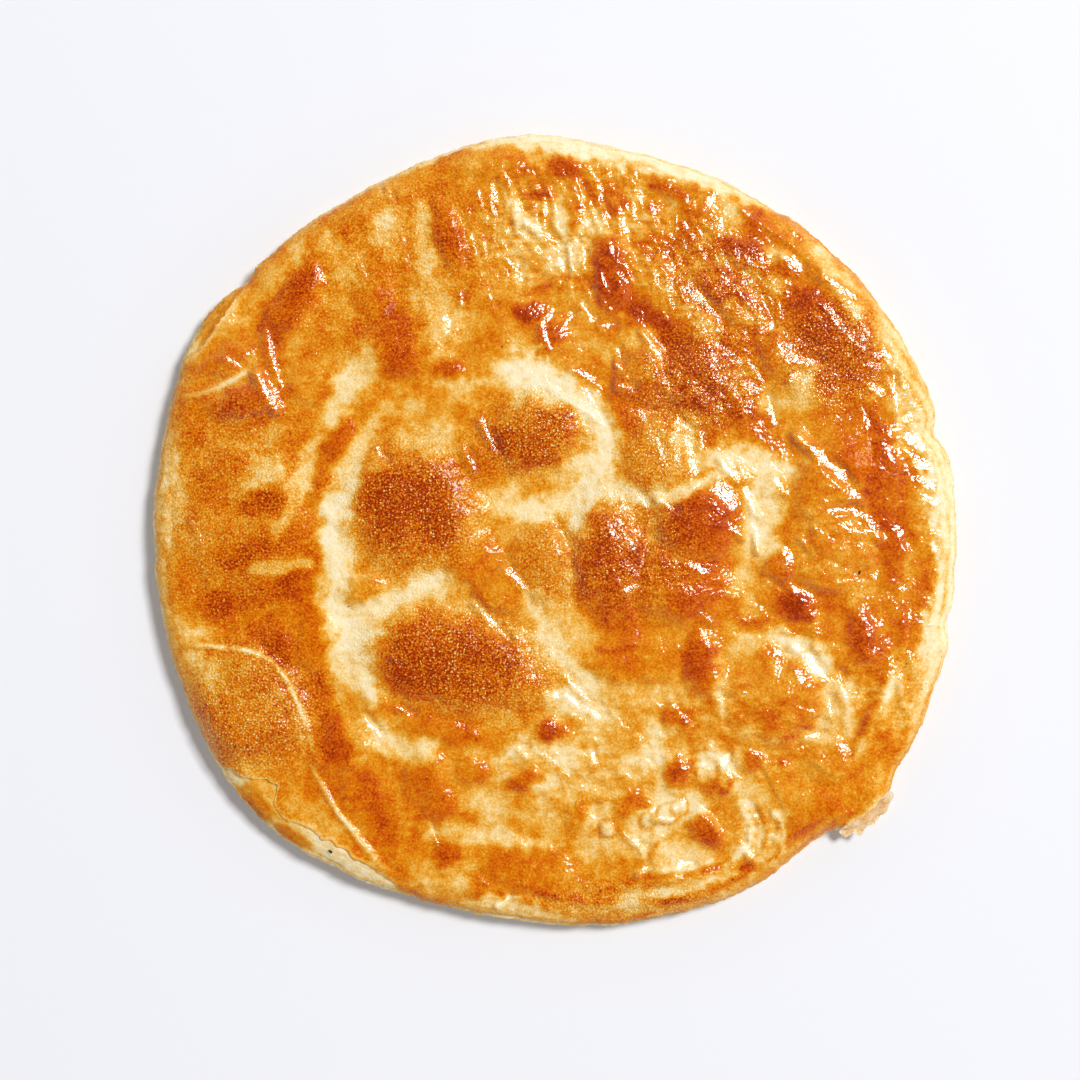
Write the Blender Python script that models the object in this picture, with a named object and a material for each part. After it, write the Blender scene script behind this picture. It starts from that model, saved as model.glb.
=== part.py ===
"""Feteer meshaltet: a round Egyptian bread of many thin buttered sheets, baked until it blisters.

One solid, resting on its flat underside. The origin is the middle of the underside, +Z is up, and
all lengths are in metres. +X is the side whose rim is torn open, so that its pale layers show.
"""

import math

import bmesh
import bpy
from mathutils import Vector, noise

# Driving dimensions
BREAD_RADIUS = 0.150
CROWN_HEIGHT = 0.0172
SHOULDER_HEIGHT = 0.0156
SHOULDER_RUN = 0.0115
SHOULDER_POWER = 2.3
BULGE_HEIGHT = 0.0064
BASE_INSET = 0.0080

# The browned top is a square grid of this many cells a side, drawn out to the round outline. Its
# outer share bends down over the shoulder, as far as TOP_BEND, and the layered wall goes on below.
TOP_CELLS = 58
TOP_SHARE = 0.94
TOP_BEND = math.radians(48.0)

# Edges of the dough's layers up the wall. Each second one stands out, and all of them stray by
# about LAYER_STEP every LAYER_PITCH or so round the rim.
WALL_LAYERS = 7
LAYER_STEP = 0.0011
LAYER_PITCH = 0.021

# Rim outline: where the round is fuller or flatter than BREAD_RADIUS, as (angle, spread, reach).
RIM_LOBES = (
    (4, 14, 0.0014),
    (74, 31, -0.0048),
    (94, 8, 0.0026),
    (121, 16, -0.0032),
    (152, 9, 0.0034),
    (222, 16, 0.0038),
    (258, 17, -0.0038),
    (299, 11, 0.0030),
    (318.5, 4.8, 0.0120),
    (329, 9, 0.0064),
    (343, 8, 0.0040),
)
# Nicks where the rim's sheets are torn apart, as (angle, spread, depth).
RIM_TEARS = (
    (14.3, 1.9, 0.0036),
    (141, 2.2, 0.0022),
    (347, 2.0, 0.0022),
)
RIM_RAGGED = 0.0010
RIM_RAGGED_PITCH = 0.011

# Blisters of the top sheet: (x, y, half length, half width, turn in degrees, rise).
BLISTERS = (
    (-0.052, 0.008, 0.024, 0.022, 0, 0.0040),
    (-0.031, -0.010, 0.011, 0.009, 20, 0.0026),
    (-0.008, 0.036, 0.017, 0.013, 15, 0.0034),
    (-0.037, -0.049, 0.034, 0.017, -14, 0.0042),
    (-0.005, -0.012, 0.011, 0.015, 10, 0.0032),
    (0.021, -0.011, 0.013, 0.023, 8, 0.0038),
    (0.044, -0.020, 0.019, 0.014, -10, 0.0028),
    (0.054, 0.002, 0.015, 0.014, 0, 0.0040),
    (0.030, -0.048, 0.019, 0.009, 4, 0.0026),
    (0.055, -0.050, 0.008, 0.013, 5, 0.0022),
    (0.034, 0.057, 0.010, 0.011, 0, 0.0030),
    (0.038, 0.028, 0.012, 0.014, 0, 0.0026),
    (0.054, 0.057, 0.014, 0.013, 20, 0.0024),
    (0.103, 0.072, 0.018, 0.023, 20, 0.0040),
    (0.066, 0.097, 0.018, 0.010, -20, 0.0018),
    (0.022, 0.094, 0.008, 0.015, 0, 0.0018),
    (0.104, 0.014, 0.014, 0.020, -20, 0.0030),
    (0.107, -0.004, 0.013, 0.011, -30, 0.0030),
    (0.125, 0.002, 0.007, 0.028, 0, 0.0016),
    (0.114, -0.040, 0.007, 0.013, 5, 0.0018),
    (0.082, -0.064, 0.018, 0.015, 10, 0.0032),
    (0.104, -0.096, 0.016, 0.012, -40, 0.0020),
    (0.046, -0.086, 0.012, 0.011, 0, 0.0022),
    (-0.004, -0.078, 0.012, 0.010, 0, 0.0018),
    (-0.045, -0.095, 0.018, 0.013, 10, 0.0026),
    (-0.012, -0.122, 0.020, 0.009, 0, 0.0020),
    (-0.115, 0.006, 0.022, 0.030, 0, 0.0030),
    (-0.113, -0.067, 0.026, 0.024, -20, 0.0040),
    (-0.078, -0.081, 0.012, 0.014, 0, 0.0026),
    (-0.094, 0.082, 0.013, 0.020, -30, 0.0030),
    (-0.054, 0.072, 0.019, 0.014, 10, 0.0028),
    (-0.044, 0.108, 0.012, 0.019, 0, 0.0024),
    (-0.118, 0.052, 0.016, 0.010, 20, 0.0022),
    (-0.004, 0.122, 0.026, 0.014, 0, 0.0018),
)
# The edge of a blister falls off within this share of its size, its crown sags by CROWN_SAG at the
# edge, and its outline strays by BLISTER_WOBBLE every BLISTER_PITCH or so.
BLISTER_EDGE = 0.42
CROWN_SAG = 0.35
BLISTER_WOBBLE = 0.16
BLISTER_PITCH = 0.014

# Folds of the dough: (half width, rise, points of the crest).
FOLDS = (
    (0.0040, 0.0026, ((-0.138, -0.042), (-0.112, -0.044), (-0.098, -0.056), (-0.089, -0.077),
                      (-0.087, -0.090))),
    (0.0040, 0.0024, ((-0.099, -0.062), (-0.091, -0.086), (-0.078, -0.107), (-0.060, -0.128))),
    (0.0045, 0.0022, ((-0.137, 0.050), (-0.113, 0.059), (-0.108, 0.078))),
    (0.0045, 0.0024, ((0.060, 0.125), (0.088, 0.108), (0.100, 0.095))),
    (0.0045, 0.0026, ((0.112, 0.090), (0.123, 0.070), (0.127, 0.042))),
    (0.0045, 0.0022, ((0.131, -0.025), (0.126, -0.056), (0.114, -0.083), (0.103, -0.096))),
    (0.0045, 0.0020, ((0.020, -0.133), (0.050, -0.130), (0.072, -0.125))),
    (0.0040, 0.0018, ((-0.016, -0.105), (0.010, -0.116), (0.036, -0.112))),
)

# Where a fold runs over a blister, this share of the lower of the two adds to the taller.
MEETING_SHARE = 0.3

# Torn ledges: the top sheet stops short of the rim and bares the layer below it, as
# (first angle, last angle, width, drop).
LEDGES = (
    (143, 157, 0.0060, 0.0014),
    (215, 248, 0.0095, 0.0016),
    (311, 326, 0.0070, 0.0064),
)
# Its edge falls off within LEDGE_SLOPE, strays by LEDGE_STRAY and runs out over LEDGE_FADE degrees.
LEDGE_SLOPE = 0.0035
LEDGE_STRAY = 0.0030
LEDGE_PITCH = 0.017
LEDGE_FADE = 6.0

# Uneven rise of the dough all over the top.
SWELL_RISE = 0.0016
SWELL_PITCH = 0.034

CRUST_COLOUR = (0.62, 0.26, 0.06, 1.0)
CRUST_ROUGHNESS = 0.38


def clear_scene():
    """Remove everything that a new file holds."""
    for scene_object in list(bpy.data.objects):
        bpy.data.objects.remove(scene_object, do_unlink=True)


def smooth_step(value):
    """Ease from 0 to 1 as the value goes from 0 to 1."""
    value = min(max(value, 0.0), 1.0)
    return value * value * (3.0 - 2.0 * value)


def angle_between(angle, centre):
    """Degrees from one direction to another, the short way round."""
    return (angle - centre + 180.0) % 360.0 - 180.0


def rim_radius(angle):
    """Reach of the outline in a direction given in degrees."""
    radius = BREAD_RADIUS
    for centre, spread, reach in RIM_LOBES:
        radius += reach * math.exp(-((angle_between(angle, centre) / spread) ** 2))
    for centre, spread, depth in RIM_TEARS:
        radius -= depth * math.exp(-((angle_between(angle, centre) / spread) ** 2))
    turn = math.radians(angle)
    around = BREAD_RADIUS / RIM_RAGGED_PITCH
    radius += RIM_RAGGED * noise.noise(Vector((math.cos(turn) * around, math.sin(turn) * around, 3.0)))
    return radius


def blister_rise(x, y):
    """Height that the blisters add at a place on the top."""
    rise = 0.0
    for centre_x, centre_y, half_length, half_width, turn, height in BLISTERS:
        off_x = x - centre_x
        off_y = y - centre_y
        if math.hypot(off_x, off_y) > 1.5 * max(half_length, half_width):
            continue
        cosine = math.cos(math.radians(turn))
        sine = math.sin(math.radians(turn))
        along = (off_x * cosine + off_y * sine) / half_length
        across = (off_y * cosine - off_x * sine) / half_width
        stray = noise.noise(Vector((x, y, height)) / BLISTER_PITCH)
        distance = math.hypot(along, across) * (1.0 + BLISTER_WOBBLE * stray)
        dome = smooth_step((1.0 + BLISTER_EDGE * 0.5 - distance) / BLISTER_EDGE)
        crown = max(1.0 - CROWN_SAG * distance * distance, 0.0)
        rise = max(rise, height * dome * crown)
    return rise


def distance_to_path(x, y, path):
    """Shortest distance in plan from a place to a path of straight runs."""
    nearest = BREAD_RADIUS
    for (start_x, start_y), (end_x, end_y) in zip(path, path[1:]):
        run_x = end_x - start_x
        run_y = end_y - start_y
        share = ((x - start_x) * run_x + (y - start_y) * run_y) / (run_x ** 2 + run_y ** 2)
        share = min(max(share, 0.0), 1.0)
        nearest = min(nearest, math.hypot(x - start_x - share * run_x, y - start_y - share * run_y))
    return nearest


def fold_rise(x, y):
    """Height that the folds add at a place on the top."""
    rise = 0.0
    for half_width, height, path in FOLDS:
        distance = distance_to_path(x, y, path)
        rise += height * math.exp(-((distance / half_width) ** 2))
    return rise


def blend_rises(first, second):
    """The taller of two rises where they meet, with a share of the other."""
    return max(first, second) + MEETING_SHARE * min(first, second)


def ledge_drop(angle, inward):
    """Depth lost beside the rim, where the top sheet is torn back.

    inward is the distance from the outline towards the middle.
    """
    drop = 0.0
    turn = math.radians(angle)
    stray = noise.noise(Vector((math.cos(turn), math.sin(turn), 0.5)) * (BREAD_RADIUS / LEDGE_PITCH))
    for first, last, width, depth in LEDGES:
        middle = 0.5 * (first + last)
        half = 0.5 * (last - first)
        beside = half - abs(angle_between(angle, middle))
        fade = smooth_step(beside / LEDGE_FADE)
        edge = width + LEDGE_STRAY * stray
        drop = max(drop, depth * fade * smooth_step((edge - inward) / LEDGE_SLOPE))
    return drop


def top_point(square_x, square_y):
    """Place of a grid corner, given in a square that runs from -1 to 1, on the bread's top."""
    share, angle = square_to_disc(square_x, square_y)
    degrees = math.degrees(angle)
    radius = rim_radius(degrees)
    run = min(share / TOP_SHARE, 1.0)
    bend = TOP_BEND * max(share - TOP_SHARE, 0.0) / (1.0 - TOP_SHARE)
    power = 2.0 / SHOULDER_POWER
    reach = (radius - SHOULDER_RUN) * run + SHOULDER_RUN * math.sin(bend) ** power
    x = reach * math.cos(angle)
    y = reach * math.sin(angle)
    level = SHOULDER_HEIGHT + (CROWN_HEIGHT - SHOULDER_HEIGHT) * (1.0 - run * run)
    height = BULGE_HEIGHT + (level - BULGE_HEIGHT) * math.cos(bend) ** power
    relief = blend_rises(blister_rise(x, y), fold_rise(x, y))
    relief += SWELL_RISE * noise.noise(Vector((x / SWELL_PITCH, y / SWELL_PITCH, 0.5)))
    relief -= ledge_drop(degrees, radius - reach)
    return Vector((x, y, height + relief * math.cos(bend) ** 2))


def square_to_disc(square_x, square_y):
    """Reach (0 to 1) and angle of a place in a square drawn out evenly to a round."""
    if square_x == 0.0 and square_y == 0.0:
        return 0.0, 0.0
    if abs(square_x) > abs(square_y):
        reach = square_x
        angle = 0.25 * math.pi * square_y / square_x
    else:
        reach = square_y
        angle = 0.5 * math.pi - 0.25 * math.pi * square_x / square_y
    if reach < 0.0:
        angle += math.pi
    return abs(reach), angle


def add_top(mesh):
    """Draw the browned top out of a square grid."""
    bmesh.ops.create_grid(mesh, x_segments=TOP_CELLS, y_segments=TOP_CELLS, size=1.0)
    for corner in mesh.verts:
        corner.co = top_point(corner.co.x, corner.co.y)


def wall_inset(height):
    """Distance from the outline to the wall's face at a height: none at the bulge."""
    if height < BULGE_HEIGHT:
        return BASE_INSET * ((BULGE_HEIGHT - height) / BULGE_HEIGHT) ** 2
    rise = min((height - BULGE_HEIGHT) / (SHOULDER_HEIGHT - BULGE_HEIGHT), 1.0)
    return SHOULDER_RUN * (1.0 - (1.0 - rise ** SHOULDER_POWER) ** (1.0 / SHOULDER_POWER))


def layer_ripple(angle, layer):
    """How far a layer's edge stands out of the wall, or in, in a direction given in radians."""
    place = Vector((math.cos(angle), math.sin(angle), 0.0)) * (BREAD_RADIUS / LAYER_PITCH)
    place.z = 4.0 + 2.0 * layer
    side = 0.5 if layer % 2 else -0.5
    return LAYER_STEP * (side + 0.8 * noise.noise(place))


def add_wall(mesh):
    """Extrude the shoulder's edge down to the table, one ring for each layer's edge.

    Returns the edges of the lowest ring, which lie flat on the table.
    """
    edges = [edge for edge in mesh.edges if edge.is_boundary]
    starts = {tuple(vert.co): vert.co.copy() for edge in edges for vert in edge.verts}
    for layer in range(1, WALL_LAYERS + 1):
        ring = bmesh.ops.extrude_edge_only(mesh, edges=edges)["geom"]
        edges = [part for part in ring if isinstance(part, bmesh.types.BMEdge)]
        placed = {}
        for corner in (part for part in ring if isinstance(part, bmesh.types.BMVert)):
            start = starts[tuple(corner.co)]
            corner.co = wall_point(start, layer)
            placed[tuple(corner.co)] = start
        starts = placed
    return edges


def wall_point(start, layer):
    """Place of a wall corner on a layer's edge, below a corner of the top's edge."""
    angle = math.atan2(start.y, start.x)
    height = start.z * (1.0 - layer / WALL_LAYERS)
    reach = rim_radius(math.degrees(angle)) - wall_inset(height)
    if layer < WALL_LAYERS:
        reach += layer_ripple(angle, layer)
    return Vector((reach * math.cos(angle), reach * math.sin(angle), height))


def dough_material():
    """Baked dough, browned and brushed with melted butter."""
    material = bpy.data.materials.new("baked_dough")
    material.use_nodes = True
    shader = material.node_tree.nodes["Principled BSDF"]
    shader.inputs["Base Color"].default_value = CRUST_COLOUR
    shader.inputs["Roughness"].default_value = CRUST_ROUGHNESS
    shader.inputs["Metallic"].default_value = 0.0
    return material


def build_bread():
    """Make the bread as one closed solid."""
    mesh = bmesh.new()
    add_top(mesh)
    base_edges = add_wall(mesh)
    bmesh.ops.contextual_create(mesh, geom=base_edges)
    bmesh.ops.triangulate(mesh, faces=mesh.faces[:], quad_method="SHORT_EDGE", ngon_method="BEAUTY")
    bmesh.ops.recalc_face_normals(mesh, faces=mesh.faces[:])
    data = bpy.data.meshes.new("feteer")
    mesh.to_mesh(data)
    mesh.free()
    data.shade_smooth()
    data.set_sharp_from_angle(angle=math.radians(50.0))
    data.materials.append(dough_material())
    bread = bpy.data.objects.new("feteer", data)
    bpy.context.scene.collection.objects.link(bread)
    return bread


clear_scene()
build_bread()
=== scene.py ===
"""Feteer meshaltet, a round bread of many thin buttered dough sheets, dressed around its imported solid.

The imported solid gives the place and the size. It is replaced by the bread as it looks: a stack of
pale dough layers, the browned top sheet that is torn back from the rim, a flake that sticks out at
the rim and a few burnt flecks. Places and sizes are in millimetres, and MM turns them to metres.
"""

import logging
import math
from dataclasses import dataclass, field
from enum import Enum
from typing import Iterable, Sequence

import bpy
import numpy as np
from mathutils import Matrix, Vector

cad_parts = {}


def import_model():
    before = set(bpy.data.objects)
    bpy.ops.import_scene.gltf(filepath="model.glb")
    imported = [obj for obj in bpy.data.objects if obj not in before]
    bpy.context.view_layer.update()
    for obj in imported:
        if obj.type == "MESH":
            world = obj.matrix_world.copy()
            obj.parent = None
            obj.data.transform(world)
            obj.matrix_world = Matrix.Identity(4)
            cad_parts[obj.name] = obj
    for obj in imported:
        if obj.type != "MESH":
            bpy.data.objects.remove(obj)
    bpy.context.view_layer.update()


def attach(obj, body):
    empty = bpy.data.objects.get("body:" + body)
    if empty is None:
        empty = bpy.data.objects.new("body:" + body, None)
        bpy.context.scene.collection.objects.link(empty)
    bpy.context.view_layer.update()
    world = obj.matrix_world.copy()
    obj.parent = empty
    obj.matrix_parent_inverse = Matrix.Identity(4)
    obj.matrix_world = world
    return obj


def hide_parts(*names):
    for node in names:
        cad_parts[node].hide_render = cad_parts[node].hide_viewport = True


LOG = logging.getLogger("feteer")

MM = 0.001
NODE = "feteer"
# Direction in which the top sheet was pulled, and in which its fine streaks run, in degrees.
PULL_TURN = -58.0
# Faces that meet at more than this keep a sharp edge, in degrees.
SHARP_ANGLE = 62.0

Array = np.ndarray
Path = Sequence[tuple[float, float]]
Mark = Sequence[float]
Piece = bpy.types.Object
Material = bpy.types.Material
Tree = bpy.types.NodeTree
Node = bpy.types.Node
Socket = bpy.types.NodeSocket
Feed = Socket | float


class DotSpace(Enum):
    """Whether the dots of a finish are laid out in plan, or in space so that they also suit a wall."""

    PLAN = "2D"
    SOLID = "3D"


# ---- Small mathematics ----


def ease(value: Array) -> Array:
    """Ease from 0 to 1 as the value goes from 0 to 1."""
    held = np.clip(value, 0.0, 1.0)
    return held * held * (3.0 - 2.0 * held)


def bell(value: Array) -> Array:
    """Fall off on both sides from 1 at 0 to about a third at 1."""
    return np.exp(-(value ** 2))


def both_ends(foot: Array, steepness: float) -> Array:
    """Ease in at the start of a path, where the foot is 0, and out at its end, where it is 1."""
    return ease(steepness * foot) * ease(steepness * (1.0 - foot))


def angle_between(angle: Array, centre: float) -> Array:
    """Degrees from one direction to another, the short way round."""
    return (angle - centre + 180.0) % 360.0 - 180.0


def turned(x: Array, y: Array, degrees: float) -> tuple[Array, Array]:
    """Places measured along and across a direction."""
    turn = math.radians(degrees)
    return x * math.cos(turn) + y * math.sin(turn), y * math.cos(turn) - x * math.sin(turn)


def on_ring(reach: Array, angle: Array) -> tuple[Array, Array]:
    """Places at a distance from the middle, in directions given in radians."""
    return reach * np.cos(angle), reach * np.sin(angle)


def lattice_angle(column: Array, row: Array, seed: int) -> Array:
    """A direction for each corner of a lattice, the same each run.

    Args:
        column: Whole-number column of each corner.
        row: Whole-number row of each corner.
        seed: Picks one of many lattices.

    Returns:
        Angles in radians.
    """
    mixed = column * 374761393 + row * 668265263 + seed * 2246822519
    mixed = (mixed ^ (mixed >> 13)) * 1274126177
    mixed = (mixed ^ (mixed >> 16)) & 0xFFFFFF
    return mixed.astype(float) * (2.0 * math.pi / 0x1000000)


def ripple(x: Array, y: Array, pitch: float, seed: int) -> Array:
    """Smooth noise from about -1 to 1 in plan.

    Args:
        x: Places along X.
        y: Places along Y, in the same unit.
        pitch: Distance between swells, in that unit.
        seed: Picks one of many patterns.

    Returns:
        The noise at each place.
    """
    across, along = x / pitch, y / pitch
    column, row = np.floor(across), np.floor(along)
    part_x, part_y = across - column, along - row
    ease_x, ease_y = (part ** 3 * (part * (part * 6.0 - 15.0) + 10.0) for part in (part_x, part_y))
    whole_column, whole_row = column.astype(np.int64), row.astype(np.int64)
    corners = []
    for step_x in (0, 1):
        for step_y in (0, 1):
            turn = lattice_angle(whole_column + step_x, whole_row + step_y, seed)
            corners.append(np.cos(turn) * (part_x - step_x) + np.sin(turn) * (part_y - step_y))
    low = corners[0] + (corners[1] - corners[0]) * ease_y
    high = corners[2] + (corners[3] - corners[2]) * ease_y
    return 1.5 * (low + (high - low) * ease_x)


def fractal(x: Array, y: Array, pitch: float, seed: int, octaves: int = 3) -> Array:
    """Noise with finer and fainter noise on it.

    Args:
        x, y: Places along X and Y.
        pitch: Distance between the widest swells.
        seed: Picks one of many patterns.
        octaves: How many times the pitch is halved, counting the first.

    Returns:
        The noise at each place, from about -1 to 1.
    """
    total = np.zeros_like(x)
    share = 1.0
    for octave in range(octaves):
        total += share * ripple(x, y, pitch / 2 ** octave, seed + 17 * octave)
        share *= 0.5
    return total / (2.0 - 2.0 * share)


@dataclass(frozen=True)
class Swell:
    """A pattern of noise: its strength, the distance between its swells, and which pattern it is."""

    strength: float
    pitch: float
    seed: int
    octaves: int = 1

    def at(self, x: Array, y: Array, step: int = 0) -> Array:
        """The pattern at each place, or the one that is some steps of the seed further."""
        return self.strength * fractal(x, y, self.pitch, self.seed + step, self.octaves)


Swells = tuple[Swell, ...]


def swells_at(patterns: Swells, x: Array, y: Array) -> Array:
    """The sum of some patterns of noise at each place."""
    return sum(pattern.at(x, y) for pattern in patterns)


def path_distance(x: Array, y: Array, path: Path, reach: float) -> tuple[Array, Array, Array, Array]:
    """Distance in plan to a path of straight runs, for the places near it.

    Args:
        x, y: Places along X and Y.
        path: Corners of the path.
        reach: How far from the path a place is still near.

    Returns:
        Which places are near, and for those the shortest distance, how far along the path its foot is,
        from 0 to 1, and its side: 1 on the left of the path and -1 on the right.
    """
    corners = np.asarray(path, float)
    low, high = corners.min(axis=0) - reach, corners.max(axis=0) + reach
    near = np.flatnonzero((x > low[0]) & (x < high[0]) & (y > low[1]) & (y < high[1]))
    x, y = x[near], y[near]
    runs = corners[1:] - corners[:-1]
    lengths = np.hypot(runs[:, 0], runs[:, 1])
    starts = np.concatenate(([0.0], np.cumsum(lengths)))
    best, foot, side = np.full(x.shape, np.inf), np.zeros(x.shape), np.ones(x.shape)
    for corner, run, length, start in zip(corners, runs, lengths, starts):
        off_x, off_y = x - corner[0], y - corner[1]
        share = np.clip((off_x * run[0] + off_y * run[1]) / length ** 2, 0.0, 1.0)
        away = np.hypot(off_x - share * run[0], off_y - share * run[1])
        nearer = away < best
        best = np.where(nearer, away, best)
        foot = np.where(nearer, start + share * length, foot)
        side = np.where(nearer, np.sign(run[0] * off_y - run[1] * off_x), side)
    return near, best, foot / starts[-1], side


def curve_through(path: Path, rounds: int = 2) -> Path:
    """Round the corners of a path by cutting them, its ends kept.

    Args:
        path: Corners of the path.
        rounds: How many times each corner is cut.

    Returns:
        The smoother path.
    """
    corners = np.asarray(path, float)
    if len(corners) < 3:
        return path
    for _ in range(rounds):
        near = 0.75 * corners[:-1] + 0.25 * corners[1:]
        far = 0.25 * corners[:-1] + 0.75 * corners[1:]
        cut = np.stack((near, far), axis=1).reshape(-1, 2)
        corners = np.vstack((corners[:1], cut[1:-1], corners[-1:]))
    return [tuple(corner) for corner in corners]


def read_around(table: Path, angle: Array) -> Array:
    """Read a table of (degrees, value) that goes round the bread, in directions in radians."""
    knots = np.array(table, float)
    return np.interp(np.degrees(angle) % 360.0, knots[:, 0], knots[:, 1], period=360.0)


def oval(x: Array, y: Array, mark: Mark) -> Array:
    """Distance from an oval's middle, as a share of its half sizes.

    Args:
        x, y: Places along X and Y.
        mark: x, y, half length, half width and turn of the oval.

    Returns:
        0 at the middle and 1 on the oval's edge.
    """
    middle_x, middle_y, half_length, half_width, turn = mark[:5]
    along, across = turned(x - middle_x, y - middle_y, turn)
    return np.hypot(along / half_length, across / half_width)


def spread(x: Array, y: Array, marks: Iterable[Mark], ground: float) -> Array:
    """A quality of the sheet that is given at a few ovals and fades between them.

    Args:
        x, y: Places along X and Y.
        marks: Ovals, each with its value last.
        ground: Value away from all of them.

    Returns:
        The value at each place.
    """
    value = np.full(x.shape, ground)
    for mark in marks:
        # Full out to 0.45 of the half sizes, and gone at 1.36 of them.
        value += (mark[5] - value) * ease(1.5 - 1.1 * oval(x, y, mark))
    return value


def square_to_round(x: Array, y: Array) -> tuple[Array, Array]:
    """Draw a square that runs from -1 to 1 out evenly to a round.

    Args:
        x: Places along the square's X.
        y: Places along its Y.

    Returns:
        The reach from 0 to 1 and the angle in radians of each place in the round.
    """
    wide = np.abs(x) > np.abs(y)
    reach = np.where(wide, x, y)
    safe = np.where(reach == 0.0, 1.0, reach)
    quarter = 0.25 * math.pi
    angle = np.where(wide, quarter * y / safe, 2.0 * quarter - quarter * x / safe)
    angle = np.where(reach < 0.0, angle + math.pi, angle)
    return np.abs(reach), angle


# ---- What the bread looks like from above: places and sizes in millimetres ----

# Rim outline, where the round is fuller or flatter, as (angle, spread, reach).
RIM_LOBES = (
    (4, 14, 1.4), (74, 31, -4.8), (94, 8, 2.6), (121, 16, -3.2), (152, 9, 3.4), (222, 16, 3.8),
    (258, 17, -3.8), (299, 11, 3.0), (318.5, 4.8, 12.0), (329, 9, 6.4), (343, 8, 4.0),
)
# Nicks where the rim's sheets are torn apart, as (angle, spread, reach).
RIM_TEARS = ((14.3, 1.9, -3.6), (141, 2.2, -2.2), (347, 2.0, -2.2))

# How far the top sheet stops short of the outline, as (angle, inset): it is torn back where that is
# more than a little.
SHEET_EDGE = (
    (0, 1.2), (12, 1.2), (15, 1.6), (30, 1.0), (60, 1.0), (72, 1.3), (90, 1.5), (116, 1.5), (125, 1.3),
    (138, 1.2), (142, 1.3), (144.5, 4.5), (147, 6), (150, 6.2), (153, 4.8), (156, 2), (160, 1), (180, 1.3),
    (205, 1.1), (213, 0.9), (215.5, 1.6), (216.5, 4), (218.5, 5.5), (219.5, 8), (220.8, 12.5),
    (222.5, 14), (224, 10.5), (225.5, 7), (227, 6), (229, 8.5), (231, 10), (236, 8.8), (241, 7.4),
    (244.5, 5), (247.5, 1.6), (254, 0.9), (262, 2), (272, 1.5), (280, 1.1), (295, 0.9), (311, 0.9),
    (314, 1.4), (316.5, 5.5), (318.5, 6.8), (320.5, 4.5), (322.5, 1.4), (330, 1.1), (343, 1.3),
    (346, 2.4), (348, 1.2),
)

# How far from the outline its browning ends and it stays pale, as (angle, inset).
CRUST_EDGE = (
    (0, 9.5), (2, 10), (5, 11), (8, 11.5), (10, 12), (12, 9), (15, 13), (17, 11), (20, 13), (24, 12),
    (27, 10.5), (30, 8), (33, 5.5), (38, 2.5), (43, 0.5), (54, 0.5), (58, 3.5), (63, 5), (68, 6.5),
    (74, 6.5), (82, 7), (90, 7.5), (94, 6), (98, 4.5), (104, 1), (108, 2.2), (113, 2.2), (118, 1),
    (124, 0.5), (130, 1), (138, 1.5), (144, 3), (158, 2.5), (163, 3), (168, 6), (173, 7.5), (180, 7),
    (186, 5.5), (192, 5), (197, 4.5), (205, 3), (210, 1.5), (214, 0.5), (247, 0.5), (254, 0.5),
    (257, 5), (262, 9), (268, 8.5), (272, 4), (276, 1.5), (281, 3.5), (286, 2.5), (291, 0.5),
    (312, 0.5), (324, 3), (329, 4.5), (333, 7), (336, 8), (339, 10), (342, 12), (344, 11), (348, 9),
    (352, 8.5), (356, 8),
)

# How brown the dough is at the rim beyond that, as (angle, browning).
RIM_BROWNING = (
    (0, 0.05), (8, 0.05), (20, 0.18), (30, 0.16), (36, 0.36), (50, 0.40), (58, 0.14), (68, 0.02),
    (90, 0.0), (100, 0.06), (118, 0.20), (138, 0.34), (146, 0.38), (153, 0.24), (160, 0.30),
    (166, 0.12), (180, 0.10), (192, 0.12), (202, 0.26), (212, 0.40), (217, 0.08), (221, 0.40),
    (226, 0.30), (231, 0.12), (245, 0.12), (250, 0.38), (257, 0.14), (264, 0.08), (270, 0.12),
    (276, 0.34), (290, 0.34), (306, 0.34), (318, 0.34), (328, 0.38), (336, 0.16), (345, 0.05),
)

# A lower sheet that sticks out at the rim under the torn top one, as (angle, spread, width).
SHELF = (318.5, 4.8, 7.5)

# How far from the outline the stack breaks up into single layers, as (angle, inset).
LAYER_EDGE = ((0, 2.5), (140, 2.5), (144, 6.5), (154, 6.5), (158, 2.5), (312, 2.5), (316, 4), (321, 4),
              (325, 2.5))

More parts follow.
